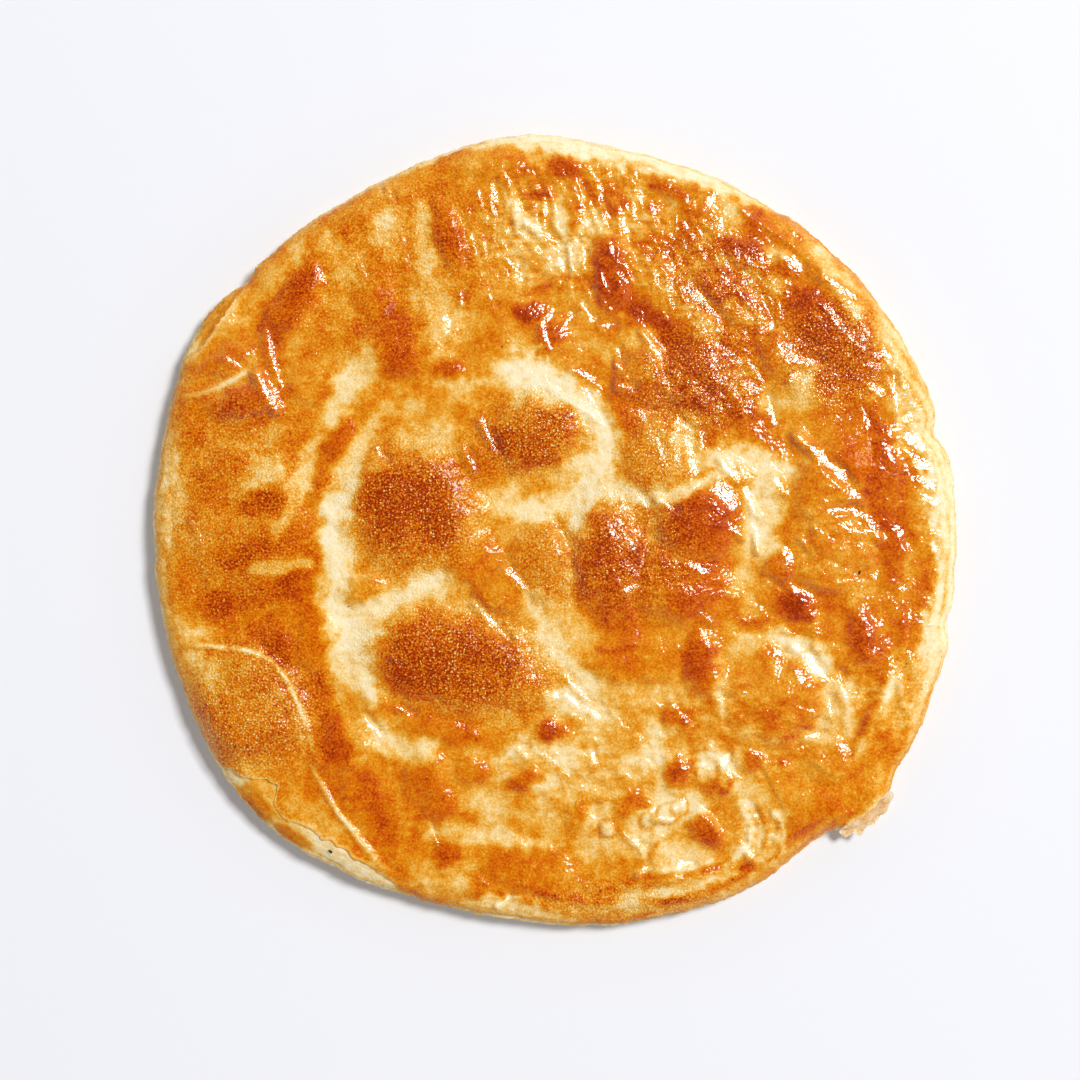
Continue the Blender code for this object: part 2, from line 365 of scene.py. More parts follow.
# Blisters of the top sheet, as (x, y, half length, half width, turn, rise, browning).
BLISTERS = (
    (-52, 8, 24, 22, 0, 4.0, 0.87), (-31, -10, 11, 9, 20, 2.6, 0.62),
    (-70, -22, 8.5, 5.5, 10, 2.0, 0.46), (-8, 36, 17, 13, 15, 3.4, 0.81),
    (-27, 24, 9, 9, 0, 1.4, 0.62), (-37, -49, 34, 17, -14, 4.2, 0.88),
    (-5, -12, 11, 15, 10, 3.2, 0.60), (-19, -22, 10, 9, 0, 2.8, 0.58),
    (21, -11, 13, 23, 8, 3.8, 0.82), (44, -20, 19, 14, -10, 2.8, 0.77),
    (54, 2, 15, 14, 0, 4.0, 0.86), (30, -48, 19, 9, 4, 2.6, 0.60),
    (55, -50, 8, 13, 5, 2.2, 0.87), (34, 57, 10, 11, 0, 3.0, 0.64),
    (54, 57, 14, 13, 20, 2.4, 0.80), (28, 46, 8, 10, 20, 1.5, 0.80),
    (71, 49, 9, 9, 0, 1.5, 0.80), (38, 28, 12, 14, 0, 2.6, 0.52),
    (22, 96, 7, 15, 0, 1.8, 0.81), (40, 91, 15, 8, -38, 1.8, 0.48),
    (61, 91, 12, 7, -35, 1.6, 0.82), (72, 103, 12, 5, -20, 1.6, 0.82),
    (84, 99, 9, 6, -20, 1.2, 0.80), (103, 70, 17, 20, 20, 1.6, 0.82),
    (104, 16, 14, 20, -20, 3.0, 0.57), (107, -4, 13, 11, -30, 3.0, 0.54),
    (112, 29, 8, 9, 0, 0.8, 0.68), (100, -15, 12, 7, -25, 1.8, 0.52),
    (91, -28, 8, 5, -15, 1.6, 0.90), (84, -14, 6.5, 5.5, -10, 1.8, 0.66),
    (126, -9, 5, 14, 0, 1.3, 0.76), (122, 17, 7, 20, 0, 1.3, 0.75), (115, -39, 5, 10, 4, 1.5, 0.80),
    (82, -64, 18, 15, 10, 3.2, 0.54), (73, -85, 6, 4, -30, 1.1, 0.78),
    (104, -86, 9, 9, -20, 1.8, 0.50), (98, -106, 12, 9, 36, 1.6, 0.64),
    (117, -77, 4.5, 16, -26, 1.5, 0.76), (45, -89, 6, 7, 15, 1.3, 0.83),
    (53, -87, 4, 2.5, 0, 0.6, 0.76), (46, -70, 5, 5.5, 0, 1.1, 0.74), (63, -94, 7, 5, 0, 1.1, 0.68),
    (57, -112, 8, 4.5, -45, 1.4, 0.72), (30, -102, 8, 6, 0, 1.1, 0.66),
    (9, -106, 5, 7, 0, 0.9, 0.66), (17, -100, 6, 2.5, 15, 0.7, 0.62), (0, -74, 7, 5, 0, 1.5, 0.77),
    (-12, -94, 7, 4.5, 15, 1.1, 0.71), (-30, -89, 7, 5, 0, 1.3, 0.66),
    (-42, -102, 7, 5, 0, 1.1, 0.72), (-8, -126, 18, 10, -14, 1.6, 0.67),
    (-40, -123, 4.5, 3, 0, 0.6, 0.80), (-28, -134, 6, 4.5, 0, 0.9, 0.66),
    (-48, -92, 8, 10, 0, 1.3, 0.61), (-38, -75, 14, 4.5, -12, 0.9, 0.64),
    (-115, 4, 22, 28, 0, 3.0, 0.60), (-110, 10, 10, 4.5, 8, 0.7, 0.80),
    (-109, -5, 3, 6, -20, 0.5, 0.74), (-123, -26, 10, 5.5, 15, 0.9, 0.86),
    (-100, -19, 10, 4.5, 25, 0.8, 0.78), (-102, -42, 5, 7, 20, 0.8, 0.80),
    (-88, -41, 7, 12, 0, 1.3, 0.62), (-97, 0, 6, 10, 0, 1.2, 0.64), (-137, -18, 4, 6, 0, 0.5, 0.66),
    (-115, -64, 22, 20, 0, 3.6, 0.64), (-79, -81, 11, 10, 0, 2.2, 0.76),
    (-96, 85, 7, 17, -32, 2.0, 0.80), (-54, 70, 18, 12, 15, 2.6, 0.76),
    (-40, 60, 6, 5, 0, 1.0, 0.82), (-39, 110, 5, 14, 16, 1.8, 0.74),
    (-66, 86, 7, 10, 0, 1.3, 0.60), (-79, 35, 3.5, 9, -28, 0.7, 0.76),
    (-87, 17, 3.5, 7, -32, 0.7, 0.76), (-90, 53, 8, 6, 0, 0.8, 0.74),
    (-115, 48, 13, 6, 10, 2.0, 0.74), (-122, 63, 10, 5, 25, 1.8, 0.70),
    (-135, 34, 7, 6, 0, 0.7, 0.68), (-20, 136, 20, 6, -5, 1.1, 0.57),
    (4, 136, 7, 5, 0, 0.9, 0.80), (-6, 124, 5, 2.2, 0, 0.4, 0.80),
    (-9, 82, 7, 4.5, 0, 0.7, 0.86), (-1, 72, 6, 7, 0, 1.1, 0.80),
    (42, 127, 9, 3, -30, 0.8, 0.70), (50, 121, 6, 3, -40, 0.6, 0.72), (7, 118, 3, 9, 0, 0.5, 0.64),
    (24, 121, 5, 3, 0, 0.4, 0.70), (-70, -100, 9, 12, 20, 1.0, 0.66),
    (84, 91, 6, 4.5, -20, 1.0, 0.52), (68, 82, 7, 5.5, -20, 1.2, 0.56), (55, 76, 6, 4.5, 0, 1.0, 0.54),
    (82, 16, 4.5, 5, 0, 1.1, 0.40), (-66, -66, 4.5, 8, 15, 1.0, 0.50),
)

# How brown the sheet is between its marks, where that differs, as ovals with a browning.
REGIONS = (
    (-30, -10, 62, 62, 0, 0.42), (0, 20, 40, 34, 0, 0.42), (20, -84, 60, 44, 0, 0.40),
    (-105, 0, 30, 70, 0, 0.65), (-70, 95, 60, 40, 25, 0.55), (10, 105, 50, 34, 0, 0.49),
    (2, 113, 26, 13, 0, 0.35), (44, 122, 26, 11, -24, 0.45), (10, 134, 56, 8, 0, 0.46),
    (70, 90, 40, 34, -30, 0.64), (118, 20, 26, 80, 0, 0.58), (108, -88, 34, 34, 40, 0.54),
    (-70, -115, 50, 30, -30, 0.60), (45, 50, 28, 26, 0, 0.64), (122, -58, 12, 26, 0, 0.60),
    (96, -2, 12, 30, 0, 0.54), (58, -133, 50, 11, 12, 0.38), (84, -112, 12, 16, 30, 0.42),
)

# Darker stains inside the blisters, as (x, y, half length, half width, turn, browning).
STAINS = (
    (-50, -53, 13, 9, 0, 1.0), (-58, 14, 12, 9, 20, 0.91), (-17, 33, 6, 6, 0, 0.91),
    (-6, 26, 7, 3, 0, 0.90), (93, 86, 8, 5, 0, 0.92), (108, 66, 9, 8, 0, 0.90),
    (108, 57, 12, 5, 10, 0.88), (55, 65, 12, 7, 0, 0.88), (59, 54, 7, 5, 0, 0.88),
    (52, 48, 7, 4, 0, 0.88), (92, -30, 4.5, 4, 0, 0.95), (126, -10, 3.5, 8, 0, 0.80),
    (-124, -27, 6, 4, 0, 0.90), (-99, -18, 5, 3, 20, 0.88), (-79, -82, 5, 5, 0, 0.86),
    (84, -67, 9, 6, 0, 0.66), (22, -4, 5, 9, 0, 0.84), (56, 0, 7, 7, 0, 0.91),
    (12, -22, 4, 10, -10, 0.84), (22, 88, 5, 7, 0, 0.84), (66, 106, 6, 4, 0, 0.90),
    (-93, 92, 4, 7, -20, 0.86), (45, -91, 4, 4, 0, 0.90), (59, -114, 3.5, 3, 0, 0.78),
    (-108, -56, 9, 6, 0, 0.74), (-104, -76, 7, 9, 0, 0.72), (0, -74, 4, 3, 0, 0.86),
    (-57, 62, 8, 6, 0, 0.82), (121, 36, 4, 9, 0, 0.80), (33, -100, 4, 2.5, -20, 0.74),
    (4, 62, 5, 4, 0, 0.62), (-128, -74, 5, 9, 20, 0.48), (-121, -84, 4, 4, 0, 0.62),
    (-71, -22, 6.5, 4.5, 10, 0.52), (24, -32, 14, 7, 0, 0.74), (-110, 10, 8, 3.5, 5, 0.90),
    (-104, -40, 6, 5, -35, 0.84), (4, 38, 6, 6, 0, 0.74), (-24, 50, 9, 4, 0, 0.50),
    (-76, -53, 6, 7, 0, 0.24), (-85, -19, 3, 5, 0, 0.36), (-62, -66, 3.5, 6, 15, 0.66),
    (-90, 4, 3, 6, 0, 0.60), (-45, -68, 18, 4, -6, 0.68), (-18, 14, 6, 4, 0, 0.36),
    (138, 52, 4, 3, 0, 0.30), (135, 10, 4, 6, 0, 0.48),
)

# Bands where the sheet is paler, as it kept off the oven's heat, or browner, as (half width,
# browning, path). The pale ones also lie lower.
BANDS = (
    (3.4, 0.84, ((18, 104), (18, 95), (26, 85), (38, 78), (45, 70), (52, 62))),
    (2.6, 0.72, ((-45, 122), (-38, 110), (-30, 98))),
    (2.2, 0.74, ((-75, 42), (-79, 35), (-82, 28))),
    (2.0, 0.76, ((118, 44), (121, 24), (124, 4))),
    (4.4, 0.03, ((-68, -62), (-75, -50), (-76, -40), (-80, -28), (-81, -12), (-81, 0), (-85, 9))),
    (6.6, 0.03, ((-75, -47), (-71, -33))),
    (3.8, 0.10, ((-76, -29), (-62, -27), (-50, -23), (-42, -17))),
    (3.8, 0.05, ((-82, 4), (-80, 12), (-74, 19))),
    (2.6, 0.22, ((-80, 16), (-74, 28), (-70, 36), (-61, 45))),
    (2.4, 0.26, ((-95, 12), (-93, 20), (-87, 34))),
    (3.6, 0.80, ((-128, -7), (-114, -10), (-106, -4), (-102, 4))),
    (2.2, 0.44, ((-104, -2), (-99, 6), (-96, 14))),
    (4.0, 0.84, ((-89, -12), (-100, -20), (-113, -27))),
    (4.4, 0.56, ((-139, 6), (-132, -3), (-125, -5))),
    (3.8, 0.86, ((-112, -36), (-105, -40), (-100, -47))),
    (3.0, 0.30, ((-143, 24), (-141, 10), (-142, 0))),
    (3.4, 0.76, ((-124, 44), (-116, 48), (-108, 40))),
    (3.0, 0.46, ((-118, 32), (-108, 36), (-98, 38))),
    (1.8, 0.36, ((-112, -14), (-101, -12), (-90, -12))),
    (3.0, 0.44, ((-86, 66), (-88, 58), (-92, 48))),
    (3.6, 0.42, ((-108, 92), (-112, 84), (-120, 74))),
    (3.0, 0.80, ((-90, 102), (-97, 90), (-106, 80), (-104, 70))),
    (3.0, 0.46, ((-84, 110), (-80, 98), (-82, 84))),
    (3.0, 0.78, ((-64, 96), (-62, 84), (-56, 74))),
    (2.6, 0.46, ((-30, 132), (-40, 134), (-50, 130), (-60, 126))),
    (3.0, 0.46, ((-96, -98), (-88, -108), (-80, -116))),
    (3.0, 0.76, ((-72, -92), (-66, -104), (-60, -116))),
    (3.0, 0.46, ((-80, -62), (-74, -74), (-66, -88), (-58, -96))),
    (2.6, 0.78, ((-86, -54), (-84, -68), (-78, -84))),
    (3.8, 0.22, ((-82, 42), (-77, 54), (-68, 66))),
    (6.5, 0.02, ((-19, 59), (-10, 60), (-1, 56), (6, 52))),
    (3.4, 0.06, ((4, 52), (14, 47), (20, 39), (19, 28), (15, 20), (11, 10), (9, 2))),
    (3.8, 0.08, ((12, 29), (12, 24), (12, 14))),
    (3.8, 0.12, ((-18, 9), (-8, 8), (2, 9), (8, 10))),
    (3.0, 0.34, ((20, 65), (27, 71), (36, 73))),
    (2.3, 0.18, ((20, 17), (31, 13), (40, 11), (48, 15), (58, 20), (70, 22), (80, 24))),
    (3.2, 0.12, ((56, 26), (68, 27), (80, 26), (88, 22))),
    (5.2, 0.12, ((76, 20), (79, 10), (78, 0), (75, -7))),
    (3.0, 0.32, ((71, -13), (69, -22), (75, -29))),
    (2.6, 0.33, ((64, -62), (64, -52), (69, -44), (78, -40), (90, -42))),
    (3.4, 0.10, ((86, -41), (94, -45), (100, -50), (103, -57))),
    (2.8, 0.24, ((103, -55), (105, -62), (104, -68), (101, -75), (93, -78))),
    (3.4, 0.26, ((108, -56), (110, -66), (109, -74))),
    (2.8, 0.40, ((129, -46), (127, -58), (120, -72), (113, -86))),
    (2.6, 0.42, ((136, -52), (133, -64), (127, -76))),
    (3.4, 0.14, ((-10, -25), (-2, -36), (5, -48), (12, -56), (19, -67))),
    (3.6, 0.36, ((-2, -26), (8, -36), (12, -46))),
    (3.8, 0.12, ((2, -61), (10, -66), (20, -70))),
    (5.5, 0.30, ((-56, 44), (-50, 38), (-46, 34))),
    (3.6, 0.28, ((-20, 54), (-32, 52), (-40, 54))),
    (2.6, 0.30, ((-49, 122), (-48, 108), (-46, 96))),
    (5.0, 0.31, ((-44, 90), (-42, 81), (-42, 74), (-42, 68))),
    (3.0, 0.24, ((-63, 118), (-63, 107))),
    (4.0, 0.24, ((-97, 106), (-95, 101))),
    (2.4, 0.26, ((-45, -112), (-30, -112), (-20, -114), (-4, -116))),
    (4.4, 0.30, ((-18, -104), (-26, -100))),
    (5.0, 0.30, ((-8, -103), (0, -108), (2, -112))),
    (4.0, 0.24, ((16, -106), (19, -113), (15, -119))),
    (3.8, 0.18, ((-14, -82), (-2, -83), (8, -86), (20, -88))),
    (4.4, 0.32, ((10, -92), (22, -96), (20, -80))),
    (4.4, 0.20, ((36, -71), (38, -79), (30, -88))),
    (4.6, 0.12, ((57, -86), (67, -87))),
    (5.6, 0.08, ((33, -110), (44, -105), (51, -101))),
    (4.8, 0.24, ((27, -114), (35, -120), (47, -121), (58, -121))),
    (5.0, 0.28, ((70, -92), (77, -108), (72, -120), (64, -127))),
    (2.4, 0.50, ((18, -137), (28, -133), (42, -131.5), (58, -130), (70, -125))),
    (1.5, 0.66, ((44, -128.5), (52, -128), (60, -125), (64, -122))),
    (1.7, 0.74, ((16, -137), (24, -133), (34, -129.5), (46, -129))),
    (1.5, 0.72, ((34, -138), (50, -134.5), (64, -130), (74, -124))),
    (1.7, 0.24, ((26, -138.5), (42, -133), (58, -131), (68, -127.5))),
    (3.4, 0.18, ((-68, -72), (-60, -79), (-50, -81), (-44, -80))),
    (5.0, 0.28, ((-48, -131), (-40, -133), (-34, -131))),
    (4.8, 0.24, ((-110, 20), (-103, 22))),
    (3.6, 0.32, ((-144, -36), (-136, -37), (-130, -37))),
    (4.6, 0.26, ((-136, -48), (-129, -51), (-127, -58))),
    (5.6, 0.24, ((-13, 113), (-5, 104), (3, 98))),
    (4.0, 0.32, ((62, 113), (64, 119))),
    (5.4, 0.33, ((80, 47), (88, 51), (95, 57))),
    (4.0, 0.36, ((116, -21), (112, -20))),
    (3.6, 0.30, ((46, 38), (52, 32), (56, 24))),
    (4.0, 0.24, ((98, 102), (105, 95), (112, 88), (117, 81))),
    (2.8, 0.22, ((82, 103), (90, 103), (98, 103))),
    (1.8, 0.58, ((78, 109), (90, 105), (95, 101), (98, 94), (108, 90), (117, 84), (122, 74), (125, 63),
                 (126, 55), (124, 42))),
    (3.0, 0.34, ((128, 52), (131, 42), (133, 38))),
    (2.4, 0.38, ((-134, 66), (-128, 78), (-120, 86))),
    (4.6, 0.50, ((84, -88), (88, -94), (92, -100))),
)

# Folds, pleats and thin curled edges, as (half width, rise, browning shift, path).
# A positive shift darkens a line along the fold; a negative one pales the curled edge, partly as paler dough
# and partly as a painted highlight along it.
FOLDS = (
    (0.9, 1.4, -0.60, ((-141, -42), (-126, -43), (-115, -44), (-107, -46.5), (-101, -52), (-97, -59),
                       (-93, -69), (-90, -79), (-87, -88))),
    (1.0, 1.2, -0.30, ((-106, -56), (-99, -63), (-95, -71), (-93, -82))),
    (0.9, 1.3, -0.42, ((-92, -84), (-87, -93), (-82, -103), (-74, -112), (-67, -121), (-60, -129))),
    (0.9, 1.0, -0.24, ((-85, -99), (-77, -109), (-70, -119), (-64, -127))),
    (1.1, 1.6, -0.34, ((-140, 50), (-132, 50.5), (-124, 53.5), (-116, 58), (-112, 61))),
    (1.6, 1.4, -0.05, ((-109, 77), (-107, 68), (-103, 59), (-100, 51))),
    (2.2, 1.6, -0.10, ((-111, 61), (-108, 54), (-104, 47))),
    (1.8, 1.8, -0.30, ((-141, 52), (-141, 58), (-137, 64))),
    (1.1, 0.9, -0.12, ((-112, 95), (-117, 87), (-121, 79), (-124, 72))),
    (1.1, 0.9, -0.12, ((-115, 92), (-121, 84), (-127, 73), (-131, 66))),
    (6.0, 3.1, 0.00, ((83, 74), (83, 65), (88, 57), (97, 50))),
    (1.7, 1.6, -0.06, ((62, 125), (75, 116), (88, 107), (97, 101), (99, 92))),
    (1.0, 1.0, 0.05, ((89, 92), (99, 83), (111, 74), (118, 67))),
    (1.0, 0.8, 0.05, ((100, 81), (108, 73), (113, 66))),
    (2.6, 1.9, -0.10, ((98, 99), (106, 92), (114, 84), (119, 76))),
    (1.3, 1.1, -0.06, ((40, 131), (56, 128), (66, 122), (76, 113))),
    (1.2, 1.0, -0.04, ((84, 117), (96, 108), (104, 100), (110, 97))),
    (1.0, 0.9, 0.10, ((130, -22), (130.5, -34), (129, -46), (126, -56))),
    (1.2, 1.2, -0.16, ((128, -48), (125, -60), (118, -73), (112, -85), (107, -92))),
    (1.1, 1.0, 0.10, ((126, -44), (123, -58), (117, -70), (110, -84))),
    (1.1, 1.0, -0.16, ((127, -52), (124, -63), (124, -72))),
    (1.1, 1.0, -0.16, ((129.5, -54), (129, -62), (132, -68))),
    (1.4, 1.3, -0.24, ((131, -46), (136, -52), (138, -60))),
    (1.1, 1.0, -0.14, ((109, -54), (109.5, -67), (110, -80))),
    (1.3, 1.2, -0.26, ((19, -135), (35, -130), (55, -129), (71, -124))),
    (1.2, 1.2, -0.28, ((30, -126), (50, -127), (64, -121))),
    (1.1, 1.1, 0.24, ((30, -140), (50, -138), (66, -132), (78, -124), (92, -116))),
    (1.0, 1.0, 0.22, ((82, -119), (92, -112), (100, -108))),
    (1.0, 1.0, -0.22, ((84, -122), (96, -114), (108, -104))),
    (1.2, 1.0, 0.20, ((-14, -131), (0, -136), (14, -139), (30, -138))),
    (1.1, 0.9, 0.20, ((-24, -134), (-10, -138), (2, -142))),
    (1.0, 0.9, 0.14, ((-42, -140), (-34, -141), (-25, -140.5))),
    (1.1, 1.0, -0.24, ((78, -112), (88, -118), (80, -126))),
    (1.1, 1.0, -0.26, ((68, -100), (75, -112), (70, -121), (60, -126))),
    (1.1, 0.9, 0.20, ((74, -98), (81, -112), (77, -121), (66, -129))),
    (1.1, 0.9, -0.24, ((80, -103), (86, -110), (86, -118))),
    (0.9, 0.9, 0.26, ((14, -43), (21, -45.5), (32, -42))),
    (0.9, 0.8, 0.26, ((-31, -17), (-26, -26), (-22, -31))),
    (0.9, 0.9, 0.24, ((37, 12), (34, 0), (29, -18))),
    (1.1, 1.3, -0.30, ((-2, 53), (8, 47), (15, 43), (18, 39))),
    (1.8, 0.6, -0.06, ((-87, 10), (-81, 4), (-76, -2))),
    (1.2, 1.0, -0.14, ((60, 27), (66, 21), (70, 17))),
    (1.0, 0.9, -0.14, ((71, 19), (71.5, 8), (71, -5))),
    (1.0, 0.9, -0.14, ((71, 17), (74, 7), (76, -8))),
    (1.1, 1.1, -0.10, ((26, -111), (31, -116), (35, -124))),
    (1.0, 0.8, -0.10, ((31, -114), (38, -116), (42, -112))),
    (1.2, 1.2, 0.30, ((40, -114), (37.5, -119), (35, -124))),
    (1.0, 0.8, -0.10, ((-20, -82), (-14, -80), (-9, -86))),
    (1.0, 0.8, -0.10, ((-21, -88), (-14, -80))),
    (1.1, 0.8, -0.05, ((37, 71), (40, 62), (41, 56), (46, 50))),
    (1.0, 0.7, -0.05, ((50, 120), (58, 112), (66, 108))),
    (1.0, 1.1, -0.20, ((2, 118), (5.5, 106), (7, 95), (7, 84))),
    (0.9, 0.7, 0.10, ((-15, 86), (-5, 91), (7, 94))),
    (1.1, 1.0, -0.16, ((-13, 116), (-5, 113), (3, 108), (7, 104))),
    (1.0, 0.8, 0.10, ((66, -33), (74, -34.5), (84, -32))),
    (1.0, 0.9, -0.12, ((97, -33), (97.5, -42), (98, -49))),
)

# Edges of sheets that lie on others, the higher side on the left of the path, as (rise, run in which
# it comes back down, browning shift at the edge, path).
# A negative shift pales a thin line on the edge, partly paler dough and partly a painted highlight.
OVERLAPS = (
    (0.8, 16, -0.10, ((79, -82), (76, -84), (79, -91), (83, -98), (87, -106))),
    (0.8, 10, -0.08, ((93, -84), (100, -89), (105, -93), (109, -88), (111, -80))),
    (0.8, 10, -0.14, ((63.5, -117), (62, -111), (58, -105), (52, -101))),
    (0.7, 9, 0.00, ((76, 84), (75, 73), (78, 63), (83, 57))),
    (0.6, 9, -0.10, ((66, -78), (63, -70), (62, -60), (64, -50))),
    (0.7, 10, -0.06, ((20, -71), (10, -64), (0, -60), (-8, -62))),
)

# Thin-walled bubbles, as (x, y, radius, rise).
BUBBLES = ((20, -111, 3.2, 1.5), (42.5, -105.5, 4.0, 1.8), (35, -108, 3.0, 1.1), (47, -103, 3.2, 0.9))

# Glints: short taut wrinkles that lean to the light, each from one end to the other with its width,
# as (x, y, x, y, width).
GLINTS = (
    (91, 35, 99, 28, 4.2), (99, 28, 107, 21, 4.8), (107, 21, 113, 13, 4.2), (103, 8, 112, 8, 2.6),
    (112, 8, 118, 4, 3.4), (118, 4, 121, -3, 2.8), (89, -43, 96, -47, 3.2), (96, -47, 103, -56, 2.6),
    (97, 97, 112, 87, 4.0), (86, 102, 96, 96, 4.0), (83, 72, 88, 64, 4.0), (88, 64, 99, 63, 4.0),
    (42, 99, 48, 94, 2.4), (48, 95, 55, 87, 3.2), (55, 87, 62, 79, 3.4), (82, 20, 86, 14, 2.6),
    (-13, 116, 3, 107, 3.2), (-29, -27, -17, -40, 3.0), (33, 74, 39, 66, 2.2), (39, 66, 43, 52, 2.0),
    (-27, 41, -21, 30, 3.0), (127, 58, 128, 44, 2.6), (-110, 58, -103, 45, 3.6), (60, 17, 67, 9, 4.6),
    (72, 16, 75, 6, 2.4), (-33, 31, -29, 23, 3.6), (-14, 122, -13, 111, 2.8), (61, 126, 56, 119, 2.8),
    (5, -54, 12, -62, 2.8), (62, 27, 68, 19, 2.3), (50, 34, 51, 27, 3.0), (0, 82, -4, 77, 2.2),
    (-4, 77, -1, 68, 2.6), (-18, 103, -11, 93, 1.8), (132, 36, 138, 31, 3.4), (39, 12, 45, 8, 3.0),
    (-18, -14, -10, -21, 3.0), (7, 60, 16, 57, 2.4), (80, 50, 82, 41, 3.4), (39, 34, 41, 27, 2.8),
    (70, -115, 74, -122, 2.6), (103, -62, 103, -69, 2.4), (30, 53, 24, 54, 3.0), (24, 68, 25, 60, 2.6),
    (-107, 76, -105, 66, 2.2), (-105, 66, -100, 54, 2.2), (11, 106, 12, 97, 2.0), (-71, -68, -64, -76, 2.2),
    (65, 3, 70, -2, 3.0), (73, 63, 78, 56, 2.4), (46, 42, 52, 37, 2.2), (136, 27, 141, 23, 3.0),
    (136, 19, 141, 16, 2.6), (138, 13, 143, 10, 2.3), (88, -20, 96, -24, 3.0), (74, -26, 80, -31, 2.2),
    (107, -53, 108, -61, 3.4), (5, -61, 10, -65, 2.6), (58, 19, 52, 16, 2.1), (101, -11, 109, -15, 2.2),
    (45, -107, 38, -107, 2.8), (100, -75, 94, -77, 2.4), (31, -20, 27, -22, 2.8), (97, 1, 104, -3, 1.8),
    (35, -125, 32, -128, 2.6), (-16, -136, -21, -140, 1.3), (75, 4, 76, -8, 1.6), (61, 108, 65, 99, 2.0),
    (12, 53, 15, 48, 2.0), (92, -3, 98, -9, 2.0), (-4, -83, 1, -86, 2.0), (1, 115, 5, 108, 2.4),
    (10, 84, 16, 79, 1.8), (56, 37, 55, 31, 2.4), (118, 53, 123, 52, 2.8), (115, 46, 118, 39, 2.0),
    (32, 13, 35, 9, 2.6), (24, 62, 28, 57, 2.2), (79, -18, 84, -21, 2.2), (26, -112, 31, -117, 2.2),
    (54, 106, 58, 101, 1.8), (49, -12, 57, -15, 2.4), (91, -65, 98, -68, 1.8), (-31, 110, -28, 103, 1.6),
    (12, 92, 15, 85, 2.0), (-34, 89, -34, 84, 2.0), (7, 81, 4, 75, 2.4), (15, -82, 15, -87, 2.4),
    (85, -7, 89, -11, 2.8), (7, -68, 12, -70, 2.0), (52, -124, 47, -124, 2.6), (-41, 80, -38, 75, 1.5),
    (23, 77, 17, 76, 1.8), (92, 59, 88, 56, 2.4), (-122, 64, -117, 62, 2.8), (65, -83, 63, -88, 2.6),
    (70, 120, 75, 117, 1.6), (81, 77, 81, 73, 2.2), (19, 86, 22, 82, 2.0), (55, -30, 59, -34, 2.0),
    (72, 89, 75, 85, 1.6), (89, -51, 93, -56, 1.6), (-24, 88, -21, 84, 1.6), (75, -104, 77, -109, 1.6),
    (84, 84, 86, 79, 1.6), (119, 66, 124, 65, 2.8), (51, 26, 54, 22, 2.0), (125, -23, 128, -29, 1.8),
    (86, -37, 92, -39, 1.6), (43, 131, 49, 130, 1.6), (-58, -66, -52, -68, 2.2), (10, 111, 13, 107, 1.6),
    (41, 82, 43, 79, 1.8), (133, 44, 129, 42, 2.0), (77, 112, 81, 108, 1.6), (142, -4, 142, -8, 2.0),
    (13, -63, 17, -65, 1.6), (-28, 126, -24, 116, 1.8), (-22, 130, -21, 122, 1.6), (36, 122, 40, 114, 1.8),
    (31, 126, 34, 120, 1.6), (52, 117, 55, 111, 1.6), (-72, 99, -69, 95, 1.6), (-87, 97, -85, 93, 1.4),
    (22, -67, 27, -73, 1.8), (44, -65, 50, -69, 1.8), (-2, 128, 2, 119, 1.6), (110, 74, 116, 66, 2.4),
    (103, 82, 110, 75, 2.0), (62, 52, 67, 46, 1.8), (-62, 128, -59, 124, 1.6), (9, -129, 13, -132, 1.8),
    (-45, -111, -43, -116, 1.6), (56, -77, 61, -81, 1.8), (8, 127, 12, 120, 1.6), (-18, 134, -16, 128, 1.6),
    (-66, 31, -62, 27, 2.0), (-134, 4, -130, -4, 2.0), (-60, -47, -56, -50, 1.6),
)

# Where the sheet is pulled into many fine parallel wrinkles: (x, y, half length, half width, turn,
# direction of the wrinkles, pitch, rise).
WRINKLE_FIELDS = (
    (10, 112, 56, 30, 0, -66, 4.6, 0.75),
    (60, 88, 34, 26, -30, -52, 5.0, 0.65),
    (55, 48, 30, 18, 0, -48, 5.0, 0.55),
    (104, 6, 26, 34, 0, -44, 6.0, 0.30),
    (104, 72, 18, 24, 20, -46, 3.4, 0.32),
    (60, -78, 44, 26, 10, -42, 5.6, 0.50),
    (30, -12, 34, 24, 0, -52, 4.2, 0.30),
    (-20, 136, 24, 9, 0, -58, 2.6, 0.34),
    (14, 132, 26, 9, 0, -50, 3.0, 0.36),
    (5, -90, 36, 20, 0, -44, 5.6, 0.40),
    (122, -64, 14, 34, 20, -104, 4.0, 0.50),
    (45, -132, 38, 9, 4, 8, 3.6, 0.45),
    (76, -112, 14, 20, 30, 62, 3.4, 0.40),
    (132, 34, 11, 30, 0, -60, 4.6, 0.34),
    (-66, 104, 34, 26, 20, -74, 6.4, 0.28),
)

# Where butter lies on the sheet and it shines, and where it stays dull: (x, y, half length,
# half width, turn, shine).
SHINE = (
    (45, 85, 85, 55, -20, 0.95), (108, 0, 34, 60, 0, 0.95), (60, -80, 60, 45, 0, 0.85),
    (-52, 8, 26, 24, 0, 0.30), (-40, -50, 34, 20, -14, 0.35), (-115, -5, 36, 60, 0, 0.32),
    (-112, -66, 26, 30, 0, 0.50), (-60, 95, 50, 36, 25, 0.45), (-110, 58, 22, 20, 0, 1.0),
    (-10, 36, 20, 14, 15, 0.45), (30, -8, 36, 30, 0, 0.68), (30, -48, 22, 12, 0, 0.45),
    (86, -93, 8, 9, 0, 0.40), (-82, -30, 14, 26, 0, 0.10), (126, -86, 14, 20, 0, 0.22),
    (114, 27, 9, 11, 0, 0.10), (-76, 40, 8, 14, 0, 0.20), (-62, 90, 9, 14, 0, 0.12),
    (-98, 14, 7, 17, 0, 0.06), (-118, -56, 12, 12, 0, 0.30), (-90, 95, 10, 14, 0, 0.20),
    (104, -98, 12, 10, 0, 0.15), (-100, 2, 8, 8, 0, 0.10),
)

